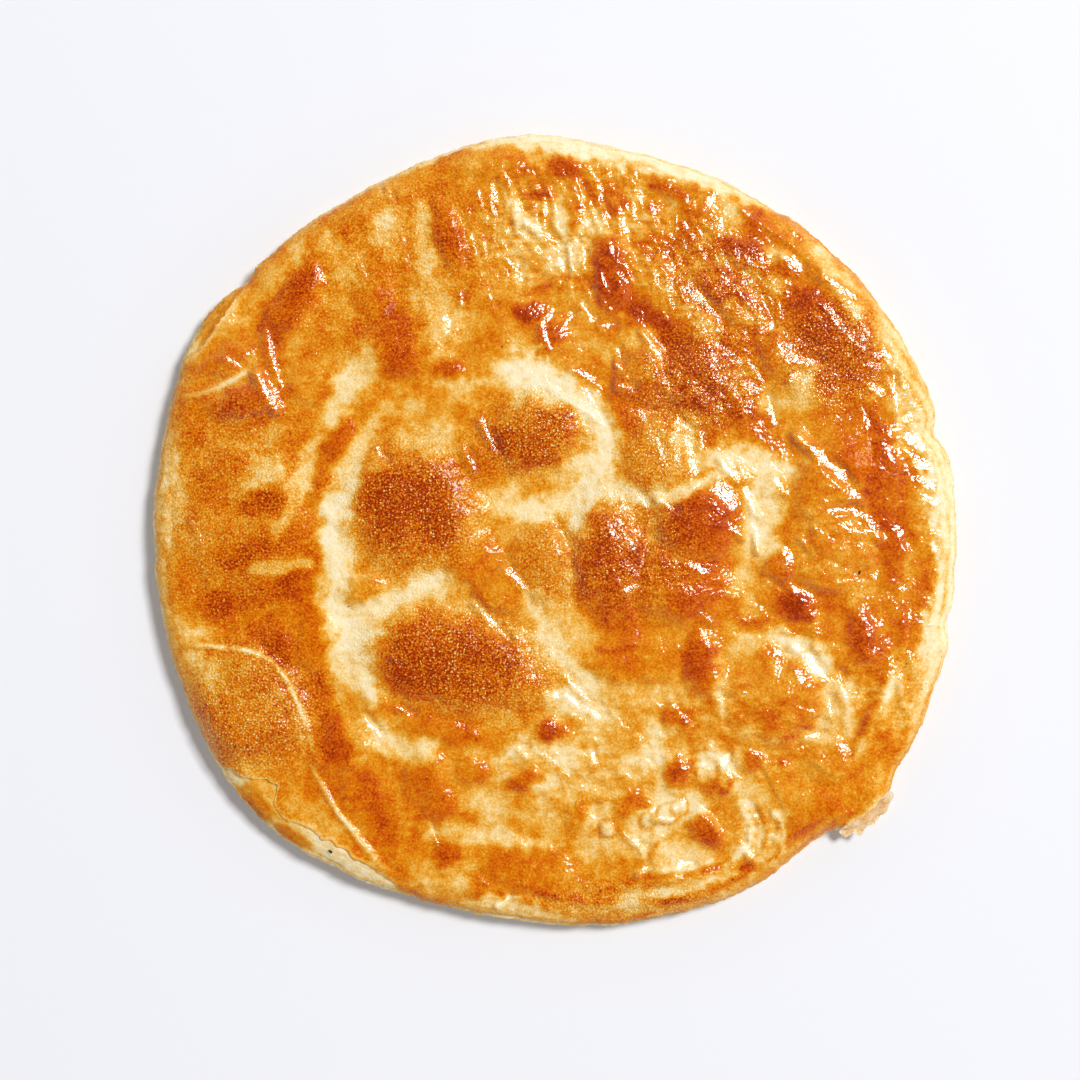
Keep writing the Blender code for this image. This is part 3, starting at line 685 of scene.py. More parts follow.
# Where the browned sheet is covered with tiny blisters: (x, y, half length, half width, turn, amount).
GRAIN = (
    (-52, 8, 28, 28, 0, 1.0), (-34, -48, 38, 22, -14, 1.0), (-8, 36, 22, 17, 15, 1.0),
    (-112, -66, 28, 28, 0, 1.0), (52, 55, 26, 22, 20, 0.90), (38, 28, 14, 15, 0, 0.85),
    (104, 66, 22, 22, 20, 0.90), (0, -12, 16, 18, 0, 0.80), (28, -6, 28, 26, 0, 0.80),
    (-120, 10, 32, 50, 0, 0.70), (-60, 100, 50, 36, 25, 0.50), (62, 92, 28, 20, -30, 0.70),
    (30, -138, 40, 8, 0, 0.70),
)

# Marks of the lower sheet where the top one is torn back, as (x, y, half length, half width, turn,
# browning).
LOWER_STAINS = (
    (-78, -126, 21, 5, -28, 0.12), (-119, -90, 7, 4.5, 60, 0.14), (-110, -102, 7.5, 4, -55, 0.54),
    (-97, -114, 8, 2.5, -32, 0.54), (-126, 78, 9, 4, 60, 0.45),
)

# Black specks of char: (x, y, length, turn).
CHAR_SPECKS = (
    (114, -15.5, 1.7, 76), (-83, -119.5, 1.7, -35), (-76, -28, 0.7, 0), (-118, -80, 1.1, 60),
    (-75, 92, 0.7, 0), (-67, 83, 0.7, 20), (-19, 68.5, 0.9, 0), (106, 29, 0.8, 0),
    (131.5, -49.5, 0.8, 0), (139, -57, 0.7, 0), (137.5, -59, 0.6, 0), (-47, -92, 0.8, 0),
    (24, 24, 0.6, 0), (-31, 101, 0.7, 0), (-80, -65, 0.6, 0), (67, -130, 0.9, 30),
)


# ---- Form and browning ----


@dataclass(frozen=True)
class BreadForm:
    """The bread's shape as functions of the place seen from above.

    All lengths are in millimetres, and heights are above the table. The sizes are those of the
    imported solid. A share has no unit.
    """

    radius: float = 150.0
    crown_height: float = 17.2
    shoulder_height: float = 15.6
    shoulder_run: float = 11.5
    shoulder_power: float = 2.3
    bulge_height: float = 6.4
    base_inset: float = 8.0
    outline_swells: Swells = (Swell(0.8, 11.0, 5, 3), Swell(0.3, 3.2, 8))
    tear_swells: Swells = (Swell(1.7, 9.0, 21, 3), Swell(0.7, 2.6, 23))
    tear_sway: float = 0.08
    tear_fray: float = 0.15
    least_inset: float = 0.5
    shelf_share: float = 0.60
    shelf_floor: float = 3.0
    shelf_edge: float = 2.0
    stray_x: Swells = (Swell(2.6, 19.0, 31, 3), Swell(1.3, 5.5, 33))
    stray_y: Swells = (Swell(2.6, 19.0, 37, 3), Swell(1.3, 5.5, 39))
    relief_power: float = 0.6
    blister_edge: float = 0.70
    crown_sag: float = 0.35
    blister_share: float = 0.88
    fold_share: float = 0.7
    fold_girth: float = 1.2
    fold_end: float = 0.35
    fold_sway: Swell = Swell(0.25, 9.0, 41)
    crossing_share: float = 0.55
    sheet_swells: Swells = (
        Swell(1.0, 34.0, 51), Swell(0.5, 13.0, 53), Swell(0.2, 5.2, 55), Swell(0.09, 2.4, 57),
    )
    wrinkle_bend: Swell = Swell(2.2, 21.0, 60)
    wrinkle_share: float = 0.6
    wrinkle_crease: float = 2.2
    wrinkle_middle: float = 0.15
    # Wrinkles and finer ones on them: strength, slimness, how much finer, and seed.
    wrinkle_folds: tuple[tuple[float, float, float, int], ...] = ((1.0, 3.1, 1.0, 80), (0.5, 2.2, 1.9, 100))
    pleated_rise: float = 0.6
    band_sink: float = 0.5
    band_level: float = 0.5
    wisp_rise: float = 0.5
    wisp_run: float = 6.0
    wisp_length: float = 11.0
    wisp_steps: Swell = Swell(1.0, 2.2, 85, 3)
    wisp_sway: Swell = Swell(1.6, 19.0, 86)
    glint_spread: float = 0.55
    glint_margin: float = 0.45
    glint_reach: float = 1.7

    def outline(self, angle: Array) -> Array:
        """Reach of the bread's outline.

        Args:
            angle: Directions in radians.

        Returns:
            The distance from the middle to the outline in each direction.
        """
        degrees = np.degrees(angle)
        reach = np.full(np.shape(angle), self.radius)
        for centre, width, gain in (*RIM_LOBES, *RIM_TEARS):
            reach = reach + gain * bell(angle_between(degrees, centre) / width)
        return reach + swells_at(self.outline_swells, *on_ring(self.radius, angle))

    def sheet_inset(self, angle: Array) -> Array:
        """How far the top sheet, with its torn edge, stops short of the outline.

        Args:
            angle: Directions in radians.

        Returns:
            The distance from the outline to the sheet's edge in each direction.
        """
        ragged = swells_at(self.tear_swells, *on_ring(self.radius, angle))
        inset = read_around(SHEET_EDGE, angle) * (1.0 + self.tear_sway * ragged) + self.tear_fray * ragged
        return np.maximum(inset, self.least_inset)

    def shell_height(self, reach: Array, outline: Array) -> Array:
        """Height of the smooth bread, before its relief, from the middle out to the bulge.

        Args:
            reach: Distance of each place from the middle.
            outline: Reach of the outline in its direction.

        Returns:
            The height at each place.
        """
        inset = np.clip(outline - reach, 0.0, None)
        run = np.clip(reach / (outline - self.shoulder_run), 0.0, 1.0)
        level = self.shoulder_height + (self.crown_height - self.shoulder_height) * (1.0 - run ** 2)
        out = np.clip(1.0 - inset / self.shoulder_run, 0.0, 1.0)
        round_off = (1.0 - out ** self.shoulder_power) ** (1.0 / self.shoulder_power)
        return self.bulge_height + (level - self.bulge_height) * round_off

    def wall_inset(self, height: Array) -> Array:
        """Distance from the outline in to the smooth wall.

        Args:
            height: Heights on the wall.

        Returns:
            The distance at each height.
        """
        below = self.base_inset * (np.clip(1.0 - height / self.bulge_height, 0.0, 1.0)) ** 2
        rise = (height - self.bulge_height) / (self.shoulder_height - self.bulge_height)
        rise = np.clip(rise, 0.0, 1.0)
        power = self.shoulder_power
        above = self.shoulder_run * (1.0 - (1.0 - rise ** power) ** (1.0 / power))
        return np.where(height < self.bulge_height, below, above)

    def stray(self, x: Array, y: Array) -> tuple[Array, Array]:
        """Places shifted a little, so that drawn marks get the uneven edges of a baked sheet."""
        return x + swells_at(self.stray_x, x, y), y + swells_at(self.stray_y, x, y)

    def relief(self, x: Array, y: Array) -> Array:
        """Height of the blisters, folds and wrinkles above the smooth bread.

        Args:
            x, y: Places along X and Y.

        Returns:
            The height that they add at each place.
        """
        strayed = self.stray(x, y)
        blisters = np.zeros_like(x)
        for mark in BLISTERS:
            away = oval(*strayed, mark)
            dome = ease((1.0 + 0.5 * self.blister_edge - away) / self.blister_edge)
            crown = np.clip(1.0 - self.crown_sag * away ** 2, 0.0, 1.0)
            blisters = np.maximum(blisters, self.blister_share * mark[5] * dome * crown)
        folds = np.zeros_like(x)
        girth = self.fold_girth * (1.0 + self.fold_sway.at(x, y))
        for half_width, rise, _, path in FOLDS:
            near, away, foot, _ = path_distance(x, y, curve_through(path), 4.0 * half_width)
            taper = self.fold_end + (1.0 - self.fold_end) * both_ends(foot, 4.0)
            crest = self.fold_share * rise * taper * bell(away / (half_width * girth[near]))
            folds[near] = np.maximum(folds[near], crest)
        height = np.maximum(blisters, folds) + self.crossing_share * np.minimum(blisters, folds)
        for rise, run, _, path in OVERLAPS:
            near, away, foot, side = path_distance(x, y, curve_through(path), run)
            height[near] += rise * both_ends(foot, 5.0) * ease(side * away + 0.5) * ease(1.0 - away / run)
        for middle_x, middle_y, radius, rise in BUBBLES:
            away = np.hypot(x - middle_x, y - middle_y) / radius
            height += rise * np.sqrt(np.clip(1.0 - away ** 2, 0.0, 1.0))
        height += self.fine_wrinkles(x, y) - self.band_depth(*strayed)
        return height + swells_at(self.sheet_swells, x, y)

    def fine_wrinkles(self, x: Array, y: Array) -> Array:
        """Height of the fields of parallel wrinkles.

        Args:
            x, y: Places along X and Y.

        Returns:
            The height that they add at each place.
        """
        height = np.zeros_like(x)
        for number, mark in enumerate(WRINKLE_FIELDS):
            direction, pitch, rise = mark[5:]
            along, across = turned(x, y, direction)
            across = across + self.wrinkle_bend.at(x, y, number)
            fold = sum(strength * ripple(along / slimness, across, pitch / finer, seed + number)
                       for strength, slimness, finer, seed in self.wrinkle_folds)
            crest = 1.0 - self.wrinkle_crease * np.abs(fold - self.wrinkle_middle)
            height += self.wrinkle_share * rise * self.field_cover(x, y, mark) * crest
        return height

    @staticmethod
    def field_cover(x: Array, y: Array, mark: Mark) -> Array:
        """How far each place is inside a field of wrinkles, from 0 to 1."""
        return ease(1.6 - 1.6 * oval(x, y, mark) ** 1.5)

    def pleat(self, x: Array, y: Array) -> Array:
        """How strongly the sheet is pulled into fine wrinkles, from 0 to 1."""
        return np.max([self.field_cover(x, y, mark) * min(mark[7] / self.pleated_rise, 1.0)
                       for mark in WRINKLE_FIELDS], axis=0)

    def band_depth(self, x: Array, y: Array) -> Array:
        """How far the pale bands sink below the sheet around them.

        Args:
            x, y: Places along X and Y.

        Returns:
            The depth at each place.
        """
        depth = np.zeros_like(x)
        for half_width, baked, path in BANDS:
            near, away, _, _ = path_distance(x, y, curve_through(path), 2.0 * half_width)
            sunk = self.band_sink * max(self.band_level - baked, 0.0) * ease(1.4 - away / half_width)
            depth[near] = np.maximum(depth[near], sunk)
        return depth

    def wisps(self, angle: Array, inset: Array) -> Array:
        """Long thin steps along the rim, where sheets lie on each other, from about -1 to 1."""
        around = self.radius * angle
        return self.wisp_steps.at(around / self.wisp_length, inset + self.wisp_sway.at(around, inset))

    def plain_surface(self, x: Array, y: Array) -> Array:
        """Height of the upper side without its glints.

        Args:
            x, y: Places along X and Y.

        Returns:
            The height at each place.
        """
        reach, angle = np.hypot(x, y), np.arctan2(y, x)
        outline = self.outline(angle)
        inset = outline - reach
        height = self.shell_height(reach, outline)
        height += self.relief(x, y) * ease(np.clip(inset / self.shoulder_run, 0.0, 1.0) ** self.relief_power)
        return height + self.wisp_rise * self.wisps(angle, inset) * ease(2.4 - inset / self.wisp_run)

    def surface(self, x: Array, y: Array) -> Array:
        """Height of the bread's upper side under its browned sheet."""
        return self.plain_surface(x, y) + self.glints(x, y)[0]

    def glints(self, x: Array, y: Array) -> tuple[Array, Array]:
        """Lean of the short taut wrinkles that show the light to an eye above the bread.

        Args:
            x, y: Places along X and Y.

        Returns:
            The height that the lean adds, and how far a place is inside a glint, from 0 to 1.
        """
        marks = np.array(GLINTS, float)
        middles = 0.5 * (marks[:, 0:2] + marks[:, 2:4])
        heights = self.plain_surface(middles[:, 0], middles[:, 1])
        leans = self.mirror_leans(np.column_stack((middles, heights)) * MM)
        heights = self.join_up(marks, middles, heights, leans)
        plain = self.plain_surface(x, y)
        lift, cover = np.zeros_like(x), np.zeros_like(x)
        for mark, middle, height, lean in zip(marks, middles, heights, leans):
            reach = self.glint_spread * mark[4] + self.glint_margin
            near, away, _, _ = path_distance(x, y, (mark[0:2], mark[2:4]), self.glint_reach * reach)
            weight = np.exp(-((away / reach) ** 4))
            level = height + lean[0] * (x[near] - middle[0]) + lean[1] * (y[near] - middle[1])
            lift[near] += weight * (level - plain[near])
            cover[near] += weight
        return lift / np.maximum(cover, 1.0), np.minimum(cover, 1.0)

    @staticmethod
    def mirror_leans(spots: Array) -> Array:
        """Slopes at which flat spots mirror the light to the eye above.

        Args:
            spots: The spots' places in metres, as rows of X, Y and height.

        Returns:
            The rise of each spot along X and along Y.
        """
        halfway = np.zeros(spots.shape)
        for seen in (Studio.key_place, (*Studio.centre, Studio.camera_height)):
            way = np.array(seen) - spots
            halfway += way / np.linalg.norm(way, axis=1, keepdims=True)
        return -halfway[:, 0:2] / halfway[:, 2:3]

    @staticmethod
    def join_up(marks: Array, middles: Array, heights: Array, leans: Array) -> Array:
        """Level the glints that start where the one before ends, so that they join without a step.

        Args:
            marks: The glints, as in their table.
            middles: Their middles.
            heights: Heights of the sheet at the middles.
            leans: Their slopes.

        Returns:
            Heights of the middles, on average over each chain as high as the sheet.
        """
        joined_heights, chain = heights.copy(), np.zeros(len(marks), int)
        for number in range(1, len(marks)):
            joined = np.array_equal(marks[number, 0:2], marks[number - 1, 2:4])
            chain[number] = chain[number - 1] + (not joined)
            if joined:
                rise = leans[number] @ (middles[number] - middles[number - 1])
                joined_heights[number] = joined_heights[number - 1] + rise
        off = np.bincount(chain, heights - joined_heights) / np.bincount(chain)
        return joined_heights + off[chain]

    def shelf(self, x: Array, y: Array, height: Array) -> Array:
        """Lower a height where a lower sheet sticks out at the rim as a shelf.

        Args:
            x, y: Places along X and Y.
            height: Height of the layers there without the shelf.

        Returns:
            Their height with it.
        """
        angle = np.arctan2(y, x)
        centre, reach, width = SHELF
        inset = self.outline(angle) - np.hypot(x, y)
        bare = bell(angle_between(np.degrees(angle), centre) / reach)
        bare = bare * ease((width + 1.0 - inset) / self.shelf_edge)
        return height - self.shelf_share * bare * np.clip(height - self.shelf_floor, 0.0, None)


@dataclass(frozen=True)
class BrownOval:
    """How a browned oval fades into the sheet around it.

    Its edge strays by the noise times `fray`. Outwards the browning starts to fade at `outer - run`
    and has gone at `outer`, both as shares of the half sizes, and `strength` is its share in between.
    """

    fray: float
    outer: float
    run: float
    strength: float = 1.0

    def lay(self, shade: Array, away: Array, ragged: Array, baked: float) -> Array:
        """Lay an oval with its own browning on a shade, from the distances to its middle and noise."""
        cover = ease((self.outer - (away + self.fray * ragged)) / self.run)
        return shade + (baked - shade) * cover * self.strength


@dataclass(frozen=True)
class Baking:
    """How deeply the top sheet is baked, from 0 for cream to 1 for dark brown, as seen from above."""

    form: BreadForm
    ground: float = 0.55
    coarse: Swell = Swell(1.0, 26.0, 71, 3)
    middling: Swell = Swell(1.0, 9.0, 73, 3)
    ragged: Swells = (Swell(1.0, 6.5, 77, 3), Swell(0.5, 2.7, 78))
    coarse_share: float = 0.09
    middling_share: float = 0.15
    blister: BrownOval = BrownOval(0.14, 1.30, 0.80, 0.95)
    stain: BrownOval = BrownOval(0.20, 1.35, 0.95, 0.85)
    band_sway: float = 0.45
    band_frays: tuple[float, float] = (0.70, 0.55)
    band_outer: float = 2.3
    band_run: float = 2.0
    line_start: float = 0.85
    line_fray: float = 0.6
    overlap_place: float = 0.4
    overlap_width: float = 1.3
    bubble_pale: float = 0.10
    bubble_edge: float = 1.2
    bubble_ring: float = 0.28
    bubble_ring_width: float = 0.8
    streaks: Swell = Swell(0.24, 5.5, 79, 3)
    streak_slimness: float = 2.6
    cloud_share: float = 0.09
    fine_cloud: Swell = Swell(1.0, 3.6, 75, 3)
    wide_cloud: Swell = Swell(3.0, 17.0, 89, 3)
    cloud_full: float = 0.35
    fray: Swell = Swell(1.0, 3.8, 81, 3)
    fray_slimness: float = 2.0
    pale_swell: Swell = Swell(0.05, 5.0, 83, 3)
    wisp_browning: float = 0.65
    torn_browning: float = 0.14
    lip_run: float = 1.8
    # How far the crust's edge strays, and fades: a length and a share of its inset.
    crust_fray: tuple[float, float] = (1.4, 0.45)
    crust_fade: tuple[float, float] = (1.6, 0.45)
    least_band: float = 0.5
    least_tear: float = 2.5
    onset_run: float = 1.5

    def browning(self, x: Array, y: Array) -> Array:
        """Browning of the top sheet.

        Args:
            x, y: Places along X and Y.

        Returns:
            The browning at each place.
        """
        stray_x, stray_y = self.form.stray(x, y)
        middling = self.middling.at(x, y)
        ragged = swells_at(self.ragged, x, y)
        shade = self.marks(x, y, middling, ragged)
        shade = self.lines(x, y, shade, ragged)
        shade = self.bubbles(x, y, shade)
        along, across = turned(x, y, PULL_TURN)
        shade += self.form.pleat(x, y) * self.streaks.at(along / self.streak_slimness, across)
        clouds = middling + self.fine_cloud.at(x, y) + np.tanh(self.wide_cloud.at(stray_x, stray_y))
        shade += self.cloud_share * clouds * ease(shade / self.cloud_full)
        return np.clip(self.fade_to_rim(x, y, shade), 0.0, 1.0)

    def marks(self, x: Array, y: Array, middling: Array, ragged: Array) -> Array:
        """Browning of the sheet with its blisters, bands and stains.

        Args:
            x, y: Places along X and Y.
            middling: Noise about as wide as a blister's edge.
            ragged: Finer noise for the edges.

        Returns:
            The browning at each place, each kind of mark laid over the ones before.
        """
        stray_x, stray_y = self.form.stray(x, y)
        coarse = self.coarse.at(x, y)
        shade = spread(x, y, REGIONS, self.ground)
        shade += self.coarse_share * coarse + self.middling_share * middling
        for mark in BLISTERS:
            shade = self.blister.lay(shade, oval(stray_x, stray_y, mark), ragged, mark[6])
        frayed = self.band_frays[0] * ragged + self.band_frays[1] * middling
        for half_width, baked, path in BANDS:
            near, away, foot, _ = path_distance(stray_x, stray_y, curve_through(path), 3.4 * half_width)
            away = away / (half_width * (1.0 + self.band_sway * coarse[near])) + frayed[near]
            away += 0.5 * (1.0 - both_ends(foot, 6.0))
            shade[near] += (baked - shade[near]) * ease((self.band_outer - away) / self.band_run)
        for mark in STAINS:
            shade = self.stain.lay(shade, oval(stray_x, stray_y, mark), ragged, mark[5])
        return shade

    def lines(self, x: Array, y: Array, shade: Array, ragged: Array) -> Array:
        """Shift the browning along the folds, and along the edges of sheets that lie on others, with pale
        lines that are partly painted highlight.

        Args:
            x, y: Places along X and Y.
            shade: Browning without them.
            ragged: Noise that makes the folds' shift uneven.

        Returns:
            The browning with them.
        """
        for half_width, _, shift, path in FOLDS:
            near, away, foot, _ = path_distance(x, y, curve_through(path), 4.0 * half_width)
            taper = both_ends(foot, 5.0) * (self.line_start + self.line_fray * ragged[near])
            # The pale lines along the curled edges are partly painted highlight.
            shade[near] += shift * taper * bell(away / half_width)
        for _, run, shift, path in OVERLAPS:
            near, away, foot, side = path_distance(x, y, curve_through(path), run)
            edge = bell((side * away - self.overlap_place) / self.overlap_width)
            # Painted highlight in part: the pale line on the edge of the upper sheet.
            shade[near] += shift * both_ends(foot, 5.0) * edge
        return shade

    def bubbles(self, x: Array, y: Array, shade: Array) -> Array:
        """Make the thin bubbles pale, with a browned ring round each.

        Args:
            x, y: Places along X and Y.
            shade: Browning without them.

        Returns:
            The browning with them.
        """
        for middle_x, middle_y, radius, _ in BUBBLES:
            out = np.hypot(x - middle_x, y - middle_y) - radius
            shade += (self.bubble_pale - shade) * ease(1.0 - out / self.bubble_edge)
            shade += self.bubble_ring * bell(out / self.bubble_ring_width)
        return shade

    def fade_to_rim(self, x: Array, y: Array, shade: Array) -> Array:
        """Let the browning fade out at the pale rim and along the sheet's torn edges.

        Args:
            x, y: Places along X and Y.
            shade: Browning without the rim.

        Returns:
            The browning with it.
        """
        angle = np.arctan2(y, x)
        inset = self.form.outline(angle) - np.hypot(x, y)
        along, across = turned(x, y, PULL_TURN)
        band = read_around(CRUST_EDGE, angle)
        fray, fade = (length + share * band for length, share in (self.crust_fray, self.crust_fade))
        frayed = fray * self.fray.at(along / self.fray_slimness, across)
        crust = ease(0.5 + (inset - band + frayed) / fade)
        pale = read_around(RIM_BROWNING, angle) + self.pale_swell.at(x, y)
        pale += self.wisp_browning * np.clip(self.form.wisps(angle, inset), 0.0, 1.0)
        shade = shade + (pale - shade) * (1.0 - crust) * ease((band - self.least_band) / self.onset_run)
        torn = self.form.sheet_inset(angle)
        lip = ease((torn - self.least_tear) / self.onset_run) * ease(1.0 - (inset - torn) / self.lip_run)
        return shade + (self.torn_browning - shade) * lip


# ---- Mesh helpers ----


def places(piece: Piece) -> Array:
    """Read the corners of a piece's mesh.

    Args:
        piece: The piece.

    Returns:
        One row for each corner, in metres.
    """
    flat = np.empty(3 * len(piece.data.vertices), np.float32)
    piece.data.vertices.foreach_get("co", flat)
    return flat.reshape(-1, 3).astype(float)


def move_to(piece: Piece, x: Array, y: Array, height: Array) -> None:
    """Set the corners of a piece's mesh from places in millimetres."""
    piece.data.vertices.foreach_set("co", (np.column_stack((x, y, height)) * MM).astype(np.float32).ravel())
    piece.data.update()


def paint(piece: Piece, **qualities: Array | float) -> None:
    """Keep one number of each quality for each corner of a piece, for its finish to read.

    Args:
        piece: The piece.
        **qualities: The numbers by the quality's name, or one number for the whole piece.
    """
    for name, values in qualities.items():
        layer = piece.data.attributes.new(name, "FLOAT", "POINT")
        numbers = np.broadcast_to(np.asarray(values, np.float32), len(piece.data.vertices))
        layer.data.foreach_set("value", np.ascontiguousarray(numbers))


def deselect() -> None:
    """Deselect every object."""
    bpy.ops.object.select_all(action="DESELECT")


def only(*pieces: Piece) -> None:
    """Select some pieces and make the first the active one.

    Args:
        *pieces: The pieces.
    """
    deselect()
    for piece in pieces:
        piece.select_set(True)
    bpy.context.view_layer.objects.active = pieces[0]


def new_piece(name: str) -> Piece:
    """Name the primitive that was just added.

    Args:
        name: Name of the piece and of its mesh.

    Returns:
        The piece.
    """
    piece = bpy.context.active_object
    piece.name = name
    piece.data.name = name
    return piece


def add_sheet(name: str, cells: int) -> tuple[Piece, Array, Array]:
    """Start a round sheet from a square grid.

    Args:
        name: Name of the piece.
        cells: Cells along each side.

    Returns:
        The piece, and for each corner its reach in the round from 0 to 1 and its angle in radians.
    """
    deselect()
    bpy.ops.mesh.primitive_grid_add(x_subdivisions=cells, y_subdivisions=cells, size=2.0, calc_uvs=False)
    piece = new_piece(name)
    square = places(piece)
    return piece, *square_to_round(square[:, 0], square[:, 1])


def smooth(piece: Piece) -> None:
    """Smooth a piece's faces, its sharp edges kept."""
    only(piece)
    bpy.ops.object.shade_smooth_by_angle(angle=math.radians(SHARP_ANGLE))


def close_below(piece: Piece, depth: float, sink: float, draw_in: float) -> None:
    """Give an open sheet a thickness at its edge and close it underneath.

    Args:
        piece: The sheet.
        depth: How far its edge goes down, in metres.
        sink: How far its underside lies below that, in metres.
        draw_in: Size of the underside's flat as a share of the sheet.
    """
    only(piece)
    bpy.ops.object.mode_set(mode="EDIT")
    bpy.ops.mesh.select_all(action="SELECT")
    bpy.ops.mesh.region_to_loop()
    for drop in (depth, sink):
        bpy.ops.mesh.extrude_region_move(TRANSFORM_OT_translate={"value": (0.0, 0.0, -drop)})
    bpy.ops.transform.resize(value=(draw_in, draw_in, 1.0), center_override=(0.0, 0.0, 0.0))
    bpy.ops.mesh.edge_face_add()
    bpy.ops.mesh.select_all(action="SELECT")
    bpy.ops.mesh.normals_make_consistent(inside=False)
    bpy.ops.object.mode_set(mode="OBJECT")


# ---- Finishes ----


def to_linear(colour: str) -> tuple[float, float, float, float]:
    """Turn an sRGB hex colour to the linear colour that a shader takes."""
    parts = [int(colour[start:start + 2], 16) / 255.0 for start in (1, 3, 5)]
    return *(p / 12.92 if p <= 0.04045 else ((p + 0.055) / 1.055) ** 2.4 for p in parts), 1.0


def add_node(tree: Tree, kind: str, inputs: dict | None = None, **settings: object) -> Node:
    """Add a node with its settings and links.

    Args:
        tree: The material's node tree.
        kind: Type of the node.
        inputs: Value or socket for each input, by name or number.
        **settings: Properties of the node.

    Returns:
        The node.
    """
    node = tree.nodes.new(kind)
    for name, value in settings.items():
        setattr(node, name, value)
    for name, value in (inputs or {}).items():
        if isinstance(value, Socket):
            tree.links.new(value, node.inputs[name])
        else:
            node.inputs[name].default_value = value
    return node


def fill_ramp(node: Node, stops: Sequence[tuple[float, str]]) -> None:
    """Set the colours of a colour ramp.

    Args:
        node: The ramp.
        stops: Its colours as (place, sRGB hex).
    """
    elements = node.color_ramp.elements
    while len(elements) < len(stops):
        elements.new(0.5)
    for element, (place, colour) in zip(elements, stops):
        element.position = place
        element.color = to_linear(colour)


def bare_material(name: str, **constants: object) -> tuple[Material, Node]:
    """Start a material with its shader.

    Args:
        name: Name of the material.
        **constants: What is the same all over, by the socket's name with underscores.

    Returns:
        The material and its shader.
    """
    material = bpy.data.materials.new(name)
    material.use_nodes = True
    shader = material.node_tree.nodes["Principled BSDF"]
    for socket, value in constants.items():
        shader.inputs[socket.replace("_", " ")].default_value = value
    return material, shader


